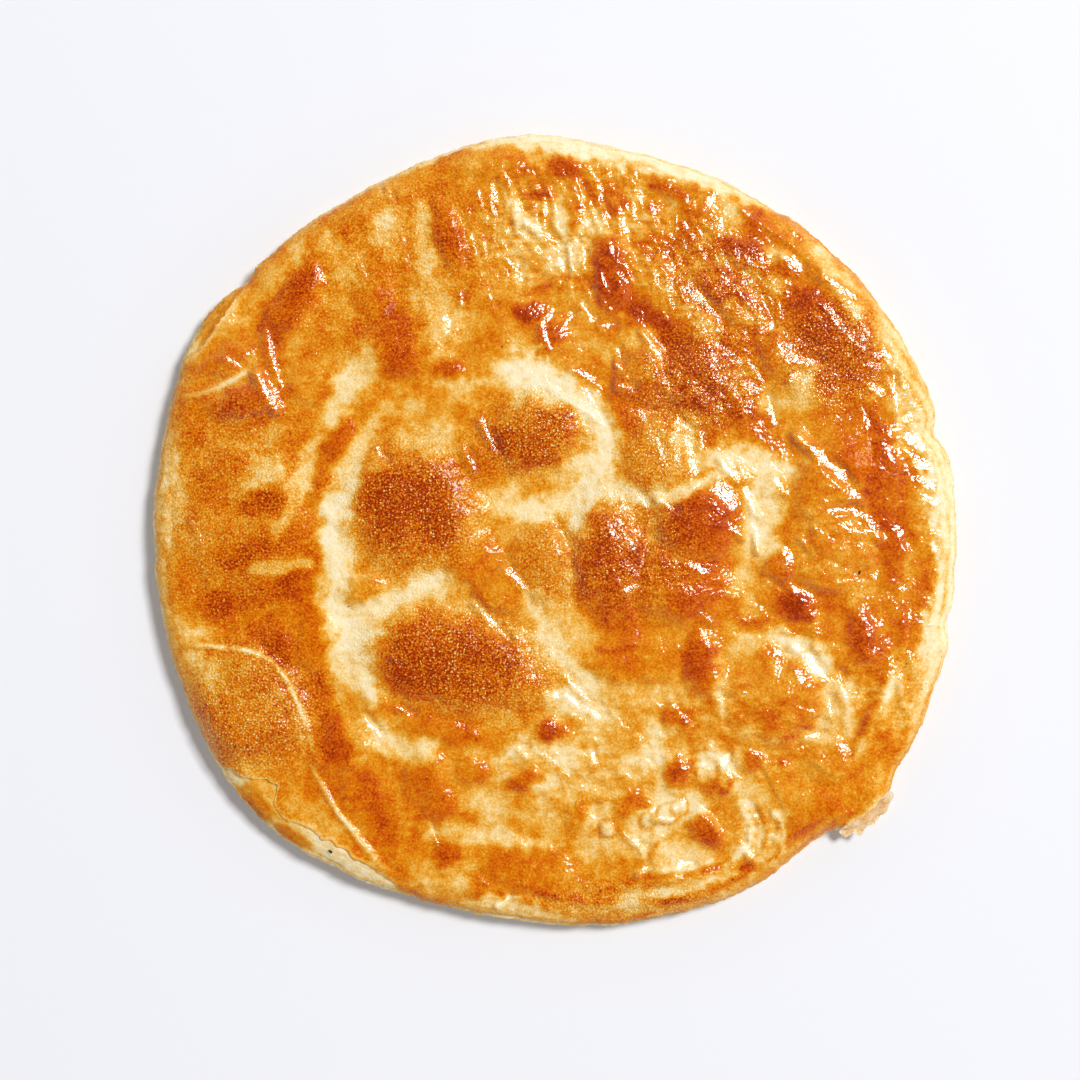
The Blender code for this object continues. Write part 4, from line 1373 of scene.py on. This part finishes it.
@dataclass(frozen=True)
class BakedDough:
    """Wheat dough in thin sheets, browned in a hot oven and brushed with melted butter.

    The baking gives it a run of colours from cream to dark brown, the tiny blisters of the browned
    skin give it a grain of golden dots, partly painted highlight on them, and the butter makes it shine in
    patches.
    """

    name: str = "baked_buttered_dough"
    dots: DotSpace = DotSpace.PLAN
    dot_strength: float = 1.0
    dot_shade: float = 0.08
    leaf_pitch: float = 0.0
    bakes: tuple[tuple[float, str], ...] = (
        (0.00, "#FDEDC8"), (0.14, "#F9DDA0"), (0.30, "#F0BA58"), (0.44, "#E69A20"), (0.58, "#DC7C04"),
        (0.72, "#D06002"), (0.86, "#BC4402"), (1.00, "#962C00"),
    )
    dot_pitch: float = 1.15 * MM
    dot_stray: float = 1.1 * MM
    dot_radius: tuple[float, float] = (0.30, 0.34)
    dot_core: float = 0.05
    mottle_pitch: float = 2.6 * MM
    mottle_amount: float = 0.42
    fine_pitch: float = 0.80 * MM
    fine_least: float = 0.40
    fine_gain: float = 1.10
    pebble_pitch: float = 1.25 * MM
    streak_pitch: float = 2.3 * MM
    streak_slimness: float = 0.30
    leaf_length: float = 0.08
    leaf_depth: float = 2.6
    roughness: float = 0.5
    ior: float = 1.25
    grain_depth: float = 0.28 * MM
    butter_ior: float = 1.47
    butter_roughness: float = 0.12
    butter_depth: float = 0.26 * MM

    def make(self) -> Material:
        """Build the material.

        Returns:
            The material, which reads the browning, shine, grain and pleats of a piece's corners.
        """
        material, shader = bare_material(
            self.name, Roughness=self.roughness, IOR=self.ior, Specular_IOR_Level=0.1,
            Coat_Roughness=self.butter_roughness, Coat_IOR=self.butter_ior)
        tree = material.node_tree
        place = add_node(tree, "ShaderNodeTexCoord").outputs["Object"]
        baked, shine, grain, pleat = (
            add_node(tree, "ShaderNodeAttribute", attribute_name=quality).outputs["Fac"]
            for quality in ("browning", "shine", "grain", "pleat"))
        mottle, fine, pebble = (
            add_node(tree, "ShaderNodeTexNoise", {"Vector": place, "Scale": 1.0 / pitch, "Detail": detail,
                                                  "Roughness": 0.6}).outputs["Fac"]
            for pitch, detail in ((self.mottle_pitch, 3.0), (self.fine_pitch, 1.0), (self.pebble_pitch, 0.0)))
        pulled = add_node(tree, "ShaderNodeMapping", {
            "Vector": place, "Rotation": (0.0, 0.0, -math.radians(PULL_TURN)),
            "Scale": (self.streak_slimness, 1.0, 1.0)})
        streaks = add_node(tree, "ShaderNodeTexNoise", {"Vector": pulled.outputs[0], "Detail": 1.5,
                                                        "Scale": 1.0 / self.streak_pitch,
                                                        "Distortion": 0.3}).outputs["Fac"]
        dots, strength = self.lay_dots(tree, place, mottle)
        shade = self.shift(tree, baked, mottle, self.mottle_amount)
        shade = self.shift(tree, shade, streaks, self.blend(tree, pleat, 0.45, 0.10))
        rough = self.product(tree, self.blend(tree, grain, 0.65, 0.50),
                             self.blend(tree, baked, self.fine_gain, self.fine_least))
        shade = self.shift(tree, shade, fine, rough)
        # Pale golden dots: partly the blisters' own colour, partly painted highlight on them.
        golden = self.blend(tree, shade, -self.dot_strength, self.dot_strength * self.dot_shade)
        shade = self.blend(tree, self.product(tree, strength, grain), golden, shade)
        beads = self.product(tree, dots, grain)
        raised = self.blend(tree, pebble, 0.7, self.blend(tree, fine, 0.4, beads))
        if self.leaf_pitch:
            shade, raised = self.add_leaves(tree, place, shade, raised)
        film = self.blend(tree, pebble, 0.62, self.product(tree, streaks, pleat))
        film = self.blend(tree, beads, 0.30, film)
        ramp = add_node(tree, "ShaderNodeValToRGB", {"Fac": shade})
        fill_ramp(ramp, self.bakes)
        tree.links.new(ramp.outputs["Color"], shader.inputs["Base Color"])
        tree.links.new(shine, shader.inputs["Coat Weight"])
        for socket, height, depth in (("Normal", raised, self.grain_depth),
                                      ("Coat Normal", film, self.butter_depth)):
            bump = add_node(tree, "ShaderNodeBump", {"Height": height, "Distance": depth, "Strength": 1.0})
            tree.links.new(bump.outputs["Normal"], shader.inputs[socket])
        return material

    def lay_dots(self, tree: Tree, place: Feed, mottle: Feed) -> tuple[Feed, Feed]:
        """Add the tiny blisters of the browned skin as pale dots, partly painted highlight.

        Args:
            tree: The material's node tree.
            place: Where on the piece the eye looks.
            mottle: Noise that makes them stronger and weaker from place to place.

        Returns:
            How far a place is up a dot, from 0 to 1, and how strongly the dot is coloured.
        """
        stray = add_node(tree, "ShaderNodeTexNoise", {"Vector": place, "Scale": 0.8 / self.dot_pitch})
        strayed = add_node(tree, "ShaderNodeVectorMath", {0: stray.outputs["Color"], 1: (self.dot_stray,) * 3,
                                                          2: place}, operation="MULTIPLY_ADD").outputs[0]
        cells = add_node(tree, "ShaderNodeTexVoronoi", {"Vector": strayed, "Scale": 1.0 / self.dot_pitch},
                         voronoi_dimensions=self.dots.value)
        own = add_node(tree, "ShaderNodeSeparateColor", {"Color": cells.outputs["Color"]}).outputs
        least, more = self.dot_radius
        size = self.blend(tree, own["Green"], more, least)
        dots = add_node(tree, "ShaderNodeMapRange", {"Value": cells.outputs["Distance"], "From Min": size,
                                                     "From Max": self.dot_core},
                        interpolation_type="SMOOTHSTEP").outputs[0]
        picked = self.product(tree, dots, self.blend(tree, own["Red"], 0.9, 0.15))
        return dots, self.product(tree, picked, self.blend(tree, mottle, 3.0, -0.7))

    def add_leaves(self, tree: Tree, place: Feed, shade: Feed, raised: Feed) -> tuple[Feed, Feed]:
        """Add the thin level lines where one sheet lies on the next.

        Args:
            tree: The material's node tree.
            place: Where on the piece the eye looks.
            shade: Browning without them.
            raised: Height of the grain without them.

        Returns:
            The browning and the height with them.
        """
        level = add_node(tree, "ShaderNodeMapping", {
            "Vector": place, "Scale": (self.leaf_length, self.leaf_length, 1.0)}).outputs[0]
        leaf = add_node(tree, "ShaderNodeTexNoise", {
            "Vector": level, "Scale": 1.0 / self.leaf_pitch, "Detail": 2.0}).outputs["Fac"]
        shown = add_node(tree, "ShaderNodeAttribute", attribute_name="leaves").outputs["Fac"]
        shade = self.shift(tree, shade, leaf, self.product(tree, shown, 0.9))
        return shade, self.blend(tree, self.product(tree, leaf, shown), self.leaf_depth, raised)

    @staticmethod
    def product(tree: Tree, first: Feed, second: Feed) -> Socket:
        """Multiply two values."""
        return add_node(tree, "ShaderNodeMath", {0: first, 1: second}, operation="MULTIPLY").outputs[0]

    @staticmethod
    def blend(tree: Tree, value: Feed, gain: Feed, start: Feed) -> Socket:
        """Multiply a value by a gain and add it to a start."""
        inputs = {0: value, 1: gain, 2: start}
        return add_node(tree, "ShaderNodeMath", inputs, operation="MULTIPLY_ADD").outputs[0]

    def shift(self, tree: Tree, value: Feed, noise: Feed, amount: Feed) -> Socket:
        """Add noise to a value: half of the noise's range up and half down."""
        centred = add_node(tree, "ShaderNodeMath", {0: noise, 1: 0.5}, operation="SUBTRACT").outputs[0]
        return self.blend(tree, centred, amount, value)


@dataclass(frozen=True)
class LayeredDough(BakedDough):
    """The ends of the inner dough sheets: pale, hardly browned and nearly dry.

    Thin level lines show where each sheet lies on the next one.
    """

    name: str = "layered_dough_ends"
    dots: DotSpace = DotSpace.SOLID
    dot_strength: float = 0.7
    leaf_pitch: float = 0.70 * MM
    fine_least: float = 0.25
    fine_gain: float = 0.60


@dataclass(frozen=True)
class TornFlake(BakedDough):
    """One sheet of dough baked on its own: thin, crisp and an even tan."""

    name: str = "crisp_torn_flake"
    dot_strength: float = 0.4
    bakes: tuple[tuple[float, str], ...] = (
        (0.00, "#FBECD6"), (0.20, "#F4D8AE"), (0.40, "#E6B880"), (0.60, "#CE8A4C"), (1.00, "#8F4A1C"),
    )
    fine_least: float = 0.45
    fine_gain: float = 0.60
    roughness: float = 0.55


@dataclass(frozen=True)
class Char:
    """Burnt flour: matt and nearly black, a little browner in spots."""

    name: str = "char_fleck"
    colours: tuple[tuple[float, str], ...] = ((0.3, "#1E0F08"), (0.8, "#3A1C0C"))
    pitch: float = 0.3 * MM
    roughness: float = 0.7

    def make(self) -> Material:
        """Build the material.

        Returns:
            The material.
        """
        material, shader = bare_material(self.name, Roughness=self.roughness)
        tree = material.node_tree
        place = add_node(tree, "ShaderNodeTexCoord").outputs["Object"]
        noise = add_node(tree, "ShaderNodeTexNoise", {"Vector": place, "Scale": 1.0 / self.pitch})
        ramp = add_node(tree, "ShaderNodeValToRGB", {"Fac": noise.outputs["Fac"]})
        fill_ramp(ramp, self.colours)
        tree.links.new(ramp.outputs["Color"], shader.inputs["Base Color"])
        return material


@dataclass(frozen=True)
class PaleFloor:
    """Painted studio floor: plain, matt and nearly white."""

    name: str = "pale_floor"
    colour: str = "#F0F2F9"
    roughness: float = 0.9

    def make(self) -> Material:
        """Build the material."""
        return bare_material(self.name, Base_Color=to_linear(self.colour), Roughness=self.roughness)[0]


# ---- Pieces ----


@dataclass
class BreadPart:
    """A part of the bread that is made as one piece."""

    form: BreadForm
    piece: Piece | None = field(default=None, init=False)


@dataclass
class TopSheet(BreadPart):
    """The browned top sheet, blistered, folded and wrinkled, with its torn edge.

    Its cells are as fine as the limit of triangles for a piece lets them be. Its grid
    has 308 cells along each side.
    """

    name: str = "browned_top_sheet"
    cells: int = 308
    thickness: float = 0.6
    edge_depth: float = 0.9
    edge_curl: float = 0.8
    curl_run: float = 4.5
    curl_least: float = 0.35
    curl_swell: Swell = Swell(1.0, 16.0, 27, 3)
    sink: float = 5.0
    draw_in: float = 0.88
    # Painted shade: the way to the key light, and how much browner the pale flanks that face away from it are
    # made.
    lit_way: tuple[float, float] = (0.84, 0.55)
    flank_shade_strength: float = 0.7
    flank_least: float = 0.06
    flank_most: float = 0.45
    dull_shine: float = 0.45
    plain_grain: float = 0.12

    def build(self) -> Piece:
        """Draw the sheet out to its torn edge, lift its relief and close it.

        Returns:
            The finished piece.
        """
        self.piece, share, angle = add_sheet(self.name, self.cells)
        edge = self.form.outline(angle) - self.form.sheet_inset(angle)
        x, y = on_ring(edge * share, angle)
        height = self.form.surface(x, y) + self.thickness
        curl = np.clip(self.curl_least + self.curl_swell.at(x, y), 0.0, 1.0)
        height += self.edge_curl * curl * ease(1.0 - edge * (1.0 - share) / self.curl_run)
        move_to(self.piece, x, y, height)
        close_below(self.piece, self.edge_depth * MM, self.sink * MM, self.draw_in)
        self.finish()
        return self.piece

    def finish(self) -> None:
        """Keep the browning, shine, grain and pleats of each corner, and smooth the piece."""
        x, y = places(self.piece).T[:2] / MM
        shine = spread(x, y, SHINE, self.dull_shine)
        shine = np.maximum(shine, ease(1.6 * self.form.glints(x, y)[1]))
        for middle_x, middle_y, radius, _ in BUBBLES:
            shine = np.maximum(shine, ease(2.0 - np.hypot(x - middle_x, y - middle_y) / radius))
        # The browning gets painted shade on the flanks that face away from the key light.
        paint(self.piece, browning=self.paint_flank_shade(Baking(self.form).browning(x, y)), shine=shine,
              grain=spread(x, y, GRAIN, self.plain_grain), pleat=self.form.pleat(x, y))
        smooth(self.piece)

    def paint_flank_shade(self, shade: Array) -> Array:
        """Paint shade into the browning: the pale flanks that face away from the key light are made browner.

        Args:
            shade: Browning without it.

        Returns:
            The browning with it.
        """
        normals = np.empty(3 * len(shade), np.float32)
        self.piece.data.vertices.foreach_get("normal", normals)
        away = -(normals.reshape(-1, 3)[:, 0:2] @ np.array(self.lit_way)) - self.flank_least
        return shade + self.flank_shade_strength * np.clip(away, 0.0, self.flank_most) * (1.0 - shade) ** 2


@dataclass
class DoughStack(BreadPart):
    """The pale layers under the top sheet: the rim that they show at, the wall and the underside."""

    name: str = "layered_dough"
    around: int = 1100
    rim_width: float = 30.0
    rim_steps: int = 44
    rim_gather: float = 1.2
    wall_steps: int = 24
    join_inset: float = 2.2
    lid_sink: float = 6.0
    lid_run: float = 8.0
    layer_pitch: float = 2.2
    layer_depth: float = 0.8
    layer_swell: Swell = Swell(0.55, 17.0, 120, 3)
    layer_fray: Swell = Swell(0.33, 3.4, 123)
    lip_swell: Swell = Swell(0.55, 15.0, 126)
    lip_power: float = 1.4
    lip_level: float = 0.45
    base_rings: int = 14
    base_hub: float = 6.0
    weld: float = 0.01
    stain: BrownOval = BrownOval(0.25, 1.35, 0.7)
    stain_fray: Swell = Swell(1.0, 6.5, 129, 3)
    rim_swell: Swell = Swell(0.12, 12.0, 130, 3)
    layer_tone: Swell = Swell(0.08, 5.0, 131)
    wall_browning: float = 0.16
    wall_swell: Swell = Swell(0.10, 20.0, 132, 3)
    wall_top: float = 11.0
    wall_fade: float = 5.0
    third_layer: float = 0.12
    sole_browning: float = 0.52
    sole_swells: Swells = (Swell(0.26, 24.0, 133, 3), Swell(0.12, 6.0, 134, 3))
    sole_edge: float = 1.6
    shine: float = 0.25
    grain: float = 0.35
    pleat: float = 0.25

    def section(self) -> Array:
        """Section of the smooth bread from the hidden lid out over the shoulder to the underside.

        Returns:
            Rows of (inset from the outline, height), in millimetres.
        """
        inset = self.rim_width * (1.0 - np.linspace(0.0, 1.0, self.rim_steps)) ** self.rim_gather
        outline = np.full(inset.shape, self.form.radius)
        top = np.column_stack((inset, self.form.shell_height(outline - inset, outline)))
        top = top[top[:, 0] > self.join_inset]
        heights = np.linspace(top[-1, 1], 0.0, self.wall_steps + 1)[1:]
        wall = np.column_stack((self.form.wall_inset(heights), heights))
        reach = np.linspace(self.form.radius - self.form.base_inset, self.base_hub, self.base_rings + 1)[1:]
        return np.vstack((top, wall, np.column_stack((self.form.radius - reach, np.zeros(self.base_rings)))))

    def build(self) -> Piece:
        """Spin the section round the middle, close it and work the layers into it.

        Returns:
            The finished piece.
        """
        section = self.section()
        deselect()
        bpy.ops.mesh.primitive_plane_add(size=1.0)
        self.piece = new_piece(self.name)
        bpy.ops.object.mode_set(mode="EDIT")
        bpy.ops.mesh.merge(type="CENTER")
        bpy.ops.transform.translate(value=self.spot(section[0]))
        for before, after in zip(section, section[1:]):
            step = self.spot(after) - self.spot(before)
            bpy.ops.mesh.extrude_region_move(TRANSFORM_OT_translate={"value": step})
        bpy.ops.mesh.select_all(action="SELECT")
        bpy.ops.mesh.spin(steps=self.around, angle=2.0 * math.pi, center=(0, 0, 0), axis=(0, 0, 1))
        bpy.ops.mesh.select_all(action="SELECT")
        bpy.ops.mesh.remove_doubles(threshold=self.weld * MM)
        bpy.ops.mesh.select_all(action="DESELECT")
        bpy.ops.mesh.select_non_manifold()
        bpy.ops.mesh.edge_face_add()
        bpy.ops.mesh.select_all(action="SELECT")
        bpy.ops.mesh.normals_make_consistent(inside=False)
        bpy.ops.object.mode_set(mode="OBJECT")
        self.work_layers(section)
        return self.piece

    def spot(self, row: Array) -> Vector:
        """Place of a section's row on the spinning line, in metres."""
        return Vector(((self.form.radius - row[0]) * MM, 0.0, row[1] * MM))

    def work_layers(self, section: Array) -> None:
        """Fit the spun section to the outline and work the torn layers into it.

        Args:
            section: The section that was spun.
        """
        x, y, height = places(self.piece).T / MM
        angle = np.arctan2(y, x)
        apart = (self.form.radius - np.hypot(x, y))[:, None] - section[:, 0]
        row = np.argmin(apart ** 2 + (height[:, None] - section[:, 1]) ** 2, axis=1)
        inset, smooth_height = section[row].T
        runs = np.diff(section, axis=0)
        along = np.concatenate(([0.0], np.cumsum(np.hypot(runs[:, 0], runs[:, 1]))))
        outline = self.form.outline(angle)
        sole = row >= len(section) - self.base_rings
        reach = np.where(sole, outline * (1.0 - inset / self.form.radius), outline - inset)
        x, y = on_ring(reach, angle)
        bulge = int(np.argmin(np.abs(section[:, 1] - self.form.bulge_height)))
        upper = row < bulge
        height = smooth_height.copy()
        sunk = self.lid_sink * ease((inset[upper] - self.rim_width + self.lid_run) / self.lid_run)
        height[upper] = self.form.surface(x[upper], y[upper]) - sunk
        height = self.form.shelf(x, y, height)
        first = np.minimum(self.form.sheet_inset(angle), read_around(LAYER_EDGE, angle))
        past = along[row] - np.interp(first, section[bulge::-1, 0], along[bulge::-1])
        ring_x, ring_y = on_ring(outline, angle)
        warp = self.layer_swell.at(ring_x + 3.0 * height, ring_y) + self.layer_fray.at(x, y)
        layer = np.clip(past / self.layer_pitch + warp, 0.0, None)
        level = np.floor(layer)
        # Each layer reads its own stretch of the noise.
        own = self.lip_swell.at(ring_x + 31.0 * level, ring_y - 17.0 * level)
        lip = (layer - level) ** self.lip_power - self.lip_level + own
        shown = ease((past + 0.5) / 1.5) * ease((height - 0.2) / 1.6)
        outwards, upwards = self.outward(np.gradient(section, along, axis=0)[row])
        push = self.layer_depth * lip * shown
        reach, height = reach + push * outwards, height + push * upwards
        height = np.where(smooth_height <= 0.0, 0.0, np.maximum(height, 0.0))
        move_to(self.piece, *on_ring(reach, angle), height)
        self.finish(angle, level, shown)

    @staticmethod
    def outward(ways: Array) -> tuple[Array, Array]:
        """How much of a push away from the bread goes outwards and how much up, from the section's way."""
        length = np.hypot(ways[:, 0], ways[:, 1])
        return -ways[:, 1] / length, -ways[:, 0] / length

    def finish(self, angle: Array, level: Array, shown: Array) -> None:
        """Keep the browning and shine of each corner, and smooth the piece.

        Args:
            angle: Direction of each corner in radians.
            level: Number of the layer that it is on.
            shown: 0 where the top sheet covers it, 1 where it shows.
        """
        x, y, height = places(self.piece).T / MM
        ragged = self.stain_fray.at(x, y)
        rim = read_around(RIM_BROWNING, angle) + self.rim_swell.at(x, y)
        rim += self.layer_tone.at(x + 9.0 * level, y)
        for mark in LOWER_STAINS:
            rim = self.stain.lay(rim, oval(x, y, mark), ragged, mark[5])
        wall = self.wall_browning + self.wall_swell.at(x + 2.0 * height, y)
        side = ease((self.wall_top - height) / self.wall_fade)
        shade = rim + (wall - rim) * side
        shade += self.third_layer * (level % 3 == 0) * (1.0 - side) * shown
        sole = self.sole_browning + swells_at(self.sole_swells, x, y)
        shade = shade + (sole - shade) * ease(1.0 - height / self.sole_edge)
        paint(self.piece, browning=np.clip(shade, 0.0, 1.0), shine=self.shine, grain=self.grain,
              pleat=self.pleat, leaves=side * ease((height - 0.3) / 1.2))
        smooth(self.piece)


@dataclass
class RimFlake(BreadPart):
    """A thin torn flake of a lower sheet that lies on the shelf at the rim and lifts at its tip.

    The outline and the other places are in millimetres from the bread's middle.
    """

    name: str = "rim_flake"
    outline: Path = (
        (107.5, -113), (110, -109), (114, -105), (119, -101), (126.5, -97), (128.5, -99), (126, -102.5),
        (125.5, -106), (121.5, -107), (121, -110.5), (117, -111), (116, -115.5), (112.5, -113), (110, -116),
    )
    ragged: Swells = (Swell(0.45, 3.0, 200, 3), Swell(0.25, 1.2, 200))
    hinge: tuple[float, float] = (115, -106)
    tip: tuple[float, float] = (127, -100)
    rest: float = 0.7
    least_height: float = 7.5
    lift: float = 1.6
    lift_power: float = 1.3
    swells: Swells = (Swell(0.35, 5.0, 250), Swell(0.12, 2.0, 255))
    middle_browning: float = 0.34
    edge_browning: float = 0.16
    edge_start: float = 0.7
    tears: tuple[tuple[float, float, float], ...] = ((112, -107, 6), (119, -102, 4))
    tear_browning: float = 0.20
    clouds: Swell = Swell(0.22, 6.0, 260, 3)
    shine: float = 0.5
    grain: float = 0.3
    cells: int = 46
    thickness: float = 0.42

    def build(self) -> Piece:
        """Cut the flake to its outline, drape it and give it its thickness.

        Returns:
            The finished piece.
        """
        self.piece, share, angle = add_sheet(self.name, self.cells)
        middle = np.mean(self.outline, axis=0)
        ring = np.asarray(curve_through([*self.outline, self.outline[0]])) - middle
        reach = np.interp(angle, np.arctan2(ring[:, 1], ring[:, 0]), np.hypot(ring[:, 0], ring[:, 1]),
                          period=2.0 * math.pi)
        rim_x, rim_y = on_ring(reach, angle)
        reach = reach + swells_at(self.ragged, middle[0] + rim_x, middle[1] + rim_y)
        x, y = on_ring(share * reach, angle)
        x, y = middle[0] + x, middle[1] + y
        move_to(self.piece, x, y, self.draped(x, y))
        shade = self.middle_browning + (self.edge_browning - self.middle_browning) * ease(
            (share - self.edge_start) / (1.0 - self.edge_start))
        for tear_x, tear_y, width in self.tears:
            shade = shade + self.tear_browning * ease(1.0 - np.hypot(x - tear_x, y - tear_y) / width)
        shade = np.clip(shade + self.clouds.at(x, y), 0.0, 1.0)
        paint(self.piece, browning=shade, shine=self.shine, grain=self.grain)
        only(self.piece)
        shell = self.piece.modifiers.new("thickness", "SOLIDIFY")
        shell.thickness = self.thickness * MM
        shell.offset = 0.0
        bpy.ops.object.modifier_apply(modifier=shell.name)
        smooth(self.piece)
        return self.piece

    def draped(self, x: Array, y: Array) -> Array:
        """Height of the flake, which lies on the shelf and lifts towards its tip.

        Args:
            x, y: Places along X and Y.

        Returns:
            The height at each place.
        """
        way = np.subtract(self.tip, self.hinge)
        along = ((x - self.hinge[0]) * way[0] + (y - self.hinge[1]) * way[1]) / (way[0] ** 2 + way[1] ** 2)
        height = self.form.shelf(x, y, self.form.surface(x, y)) + self.rest
        height = np.maximum(height, self.least_height)
        height += self.lift * np.clip(along, 0.0, 1.2) ** self.lift_power
        return height + swells_at(self.swells, x, y)


@dataclass
class CharSpecks(BreadPart):
    """Burnt flecks of flour that sit on the top sheet."""

    name: str = "char_flecks"
    height: float = 0.35
    slimness: float = 0.55
    uneven: Swell = Swell(0.35, 0.9, 170)

    def build(self) -> Piece:
        """Shape each fleck from a small ball, sink it in the sheet and join them.

        Returns:
            The finished piece.
        """
        flecks = []
        marks = np.array(CHAR_SPECKS, float)
        spots = self.form.surface(marks[:, 0], marks[:, 1]) + TopSheet.thickness
        for number, ((x, y, length, turn), spot) in enumerate(zip(CHAR_SPECKS, spots)):
            deselect()
            bpy.ops.mesh.primitive_ico_sphere_add(subdivisions=2, radius=1.0)
            fleck = new_piece(f"fleck_{number}")
            corners = places(fleck)
            uneven = 1.0 + self.uneven.at(corners[:, 0] + 5.0 * number, corners[:, 1] + corners[:, 2])
            corners *= uneven[:, None] * np.array((length / 2, length / 2 * self.slimness, self.height))
            along, across = turned(corners[:, 0], corners[:, 1], -turn)
            move_to(fleck, along + x, across + y, corners[:, 2] + spot)
            flecks.append(fleck)
        only(*flecks)
        bpy.ops.object.join()
        self.piece = new_piece(self.name)
        smooth(self.piece)
        return self.piece


@dataclass
class Studio:
    """Pale floor, soft light from the upper right and the camera straight above, in metres."""

    centre: tuple[float, float] = (-0.0049, -0.0034)
    camera_height: float = 0.966
    lens: float = 85.0
    sensor: float = 36.0
    floor_size: float = 8.0
    key_place: tuple[float, float, float] = (2.10, 1.37, 4.20)
    key_size: float = 1.09
    key_power: float = 197.0
    key_colour: str = "#FFFDF9"
    fill_strength: float = 0.595
    fill_colours: tuple[tuple[float, str], ...] = ((0.55, "#FAFBFF"), (0.95, "#5C5C5E"))

    def build(self) -> None:
        """Set up the floor, the lights and the camera."""
        self.lay_floor()
        self.hang_key()
        self.light_room()
        self.place_camera()

    def lay_floor(self) -> None:
        """Lay the floor under the bread."""
        deselect()
        bpy.ops.mesh.primitive_plane_add(size=self.floor_size)
        floor = new_piece("studio_floor")
        floor.data.materials.append(PaleFloor().make())

    def hang_key(self) -> None:
        """Hang the key light, a soft lamp that points at the bread."""
        lamp = bpy.data.lights.new("key_light", "AREA")
        lamp.size = self.key_size
        lamp.energy = self.key_power
        lamp.color = to_linear(self.key_colour)[:3]
        key = bpy.data.objects.new("key_light", lamp)
        key.location = self.key_place
        key.rotation_euler = (-Vector(self.key_place)).to_track_quat("-Z", "Y").to_euler()
        bpy.context.scene.collection.objects.link(key)

    def light_room(self) -> None:
        """Set the even light of the room, which comes mostly from the sides."""
        world = bpy.data.worlds.new("studio_light")
        world.use_nodes = True
        tree = world.node_tree
        way = add_node(tree, "ShaderNodeTexCoord").outputs["Generated"]
        up = add_node(tree, "ShaderNodeSeparateXYZ", {"Vector": way}).outputs["Z"]
        ramp = add_node(tree, "ShaderNodeValToRGB", {"Fac": up})
        fill_ramp(ramp, self.fill_colours)
        background = tree.nodes["Background"]
        tree.links.new(ramp.outputs["Color"], background.inputs["Color"])
        background.inputs["Strength"].default_value = self.fill_strength
        bpy.context.scene.world = world

    def place_camera(self) -> None:
        """Point the camera straight down at the bread."""
        data = bpy.data.cameras.new("camera")
        data.lens = self.lens
        data.sensor_width = self.sensor
        camera = bpy.data.objects.new("camera", data)
        camera.location = (*self.centre, self.camera_height)
        bpy.context.scene.collection.objects.link(camera)
        bpy.context.scene.camera = camera
        bpy.context.scene.view_settings.view_transform = "Standard"


def settle(piece: Piece, material: Material) -> None:
    """Give a finished piece its material and its body, and report it.

    Args:
        piece: The piece.
        material: Its finish.
    """
    piece.data.materials.clear()
    piece.data.materials.append(material)
    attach(piece, "root")
    LOG.info("%s: %d corners", piece.name, len(piece.data.vertices))


def main() -> None:
    """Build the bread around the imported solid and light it."""
    logging.basicConfig(level=logging.INFO, format="%(name)s: %(message)s")
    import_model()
    form = BreadForm()
    stack = DoughStack(form).build()
    settle(stack, LayeredDough().make())
    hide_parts(NODE)
    sheet = TopSheet(form).build()
    settle(sheet, BakedDough().make())
    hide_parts(NODE)
    settle(RimFlake(form).build(), TornFlake().make())
    settle(CharSpecks(form).build(), Char().make())
    Studio().build()


if __name__ == "__main__":
    main()
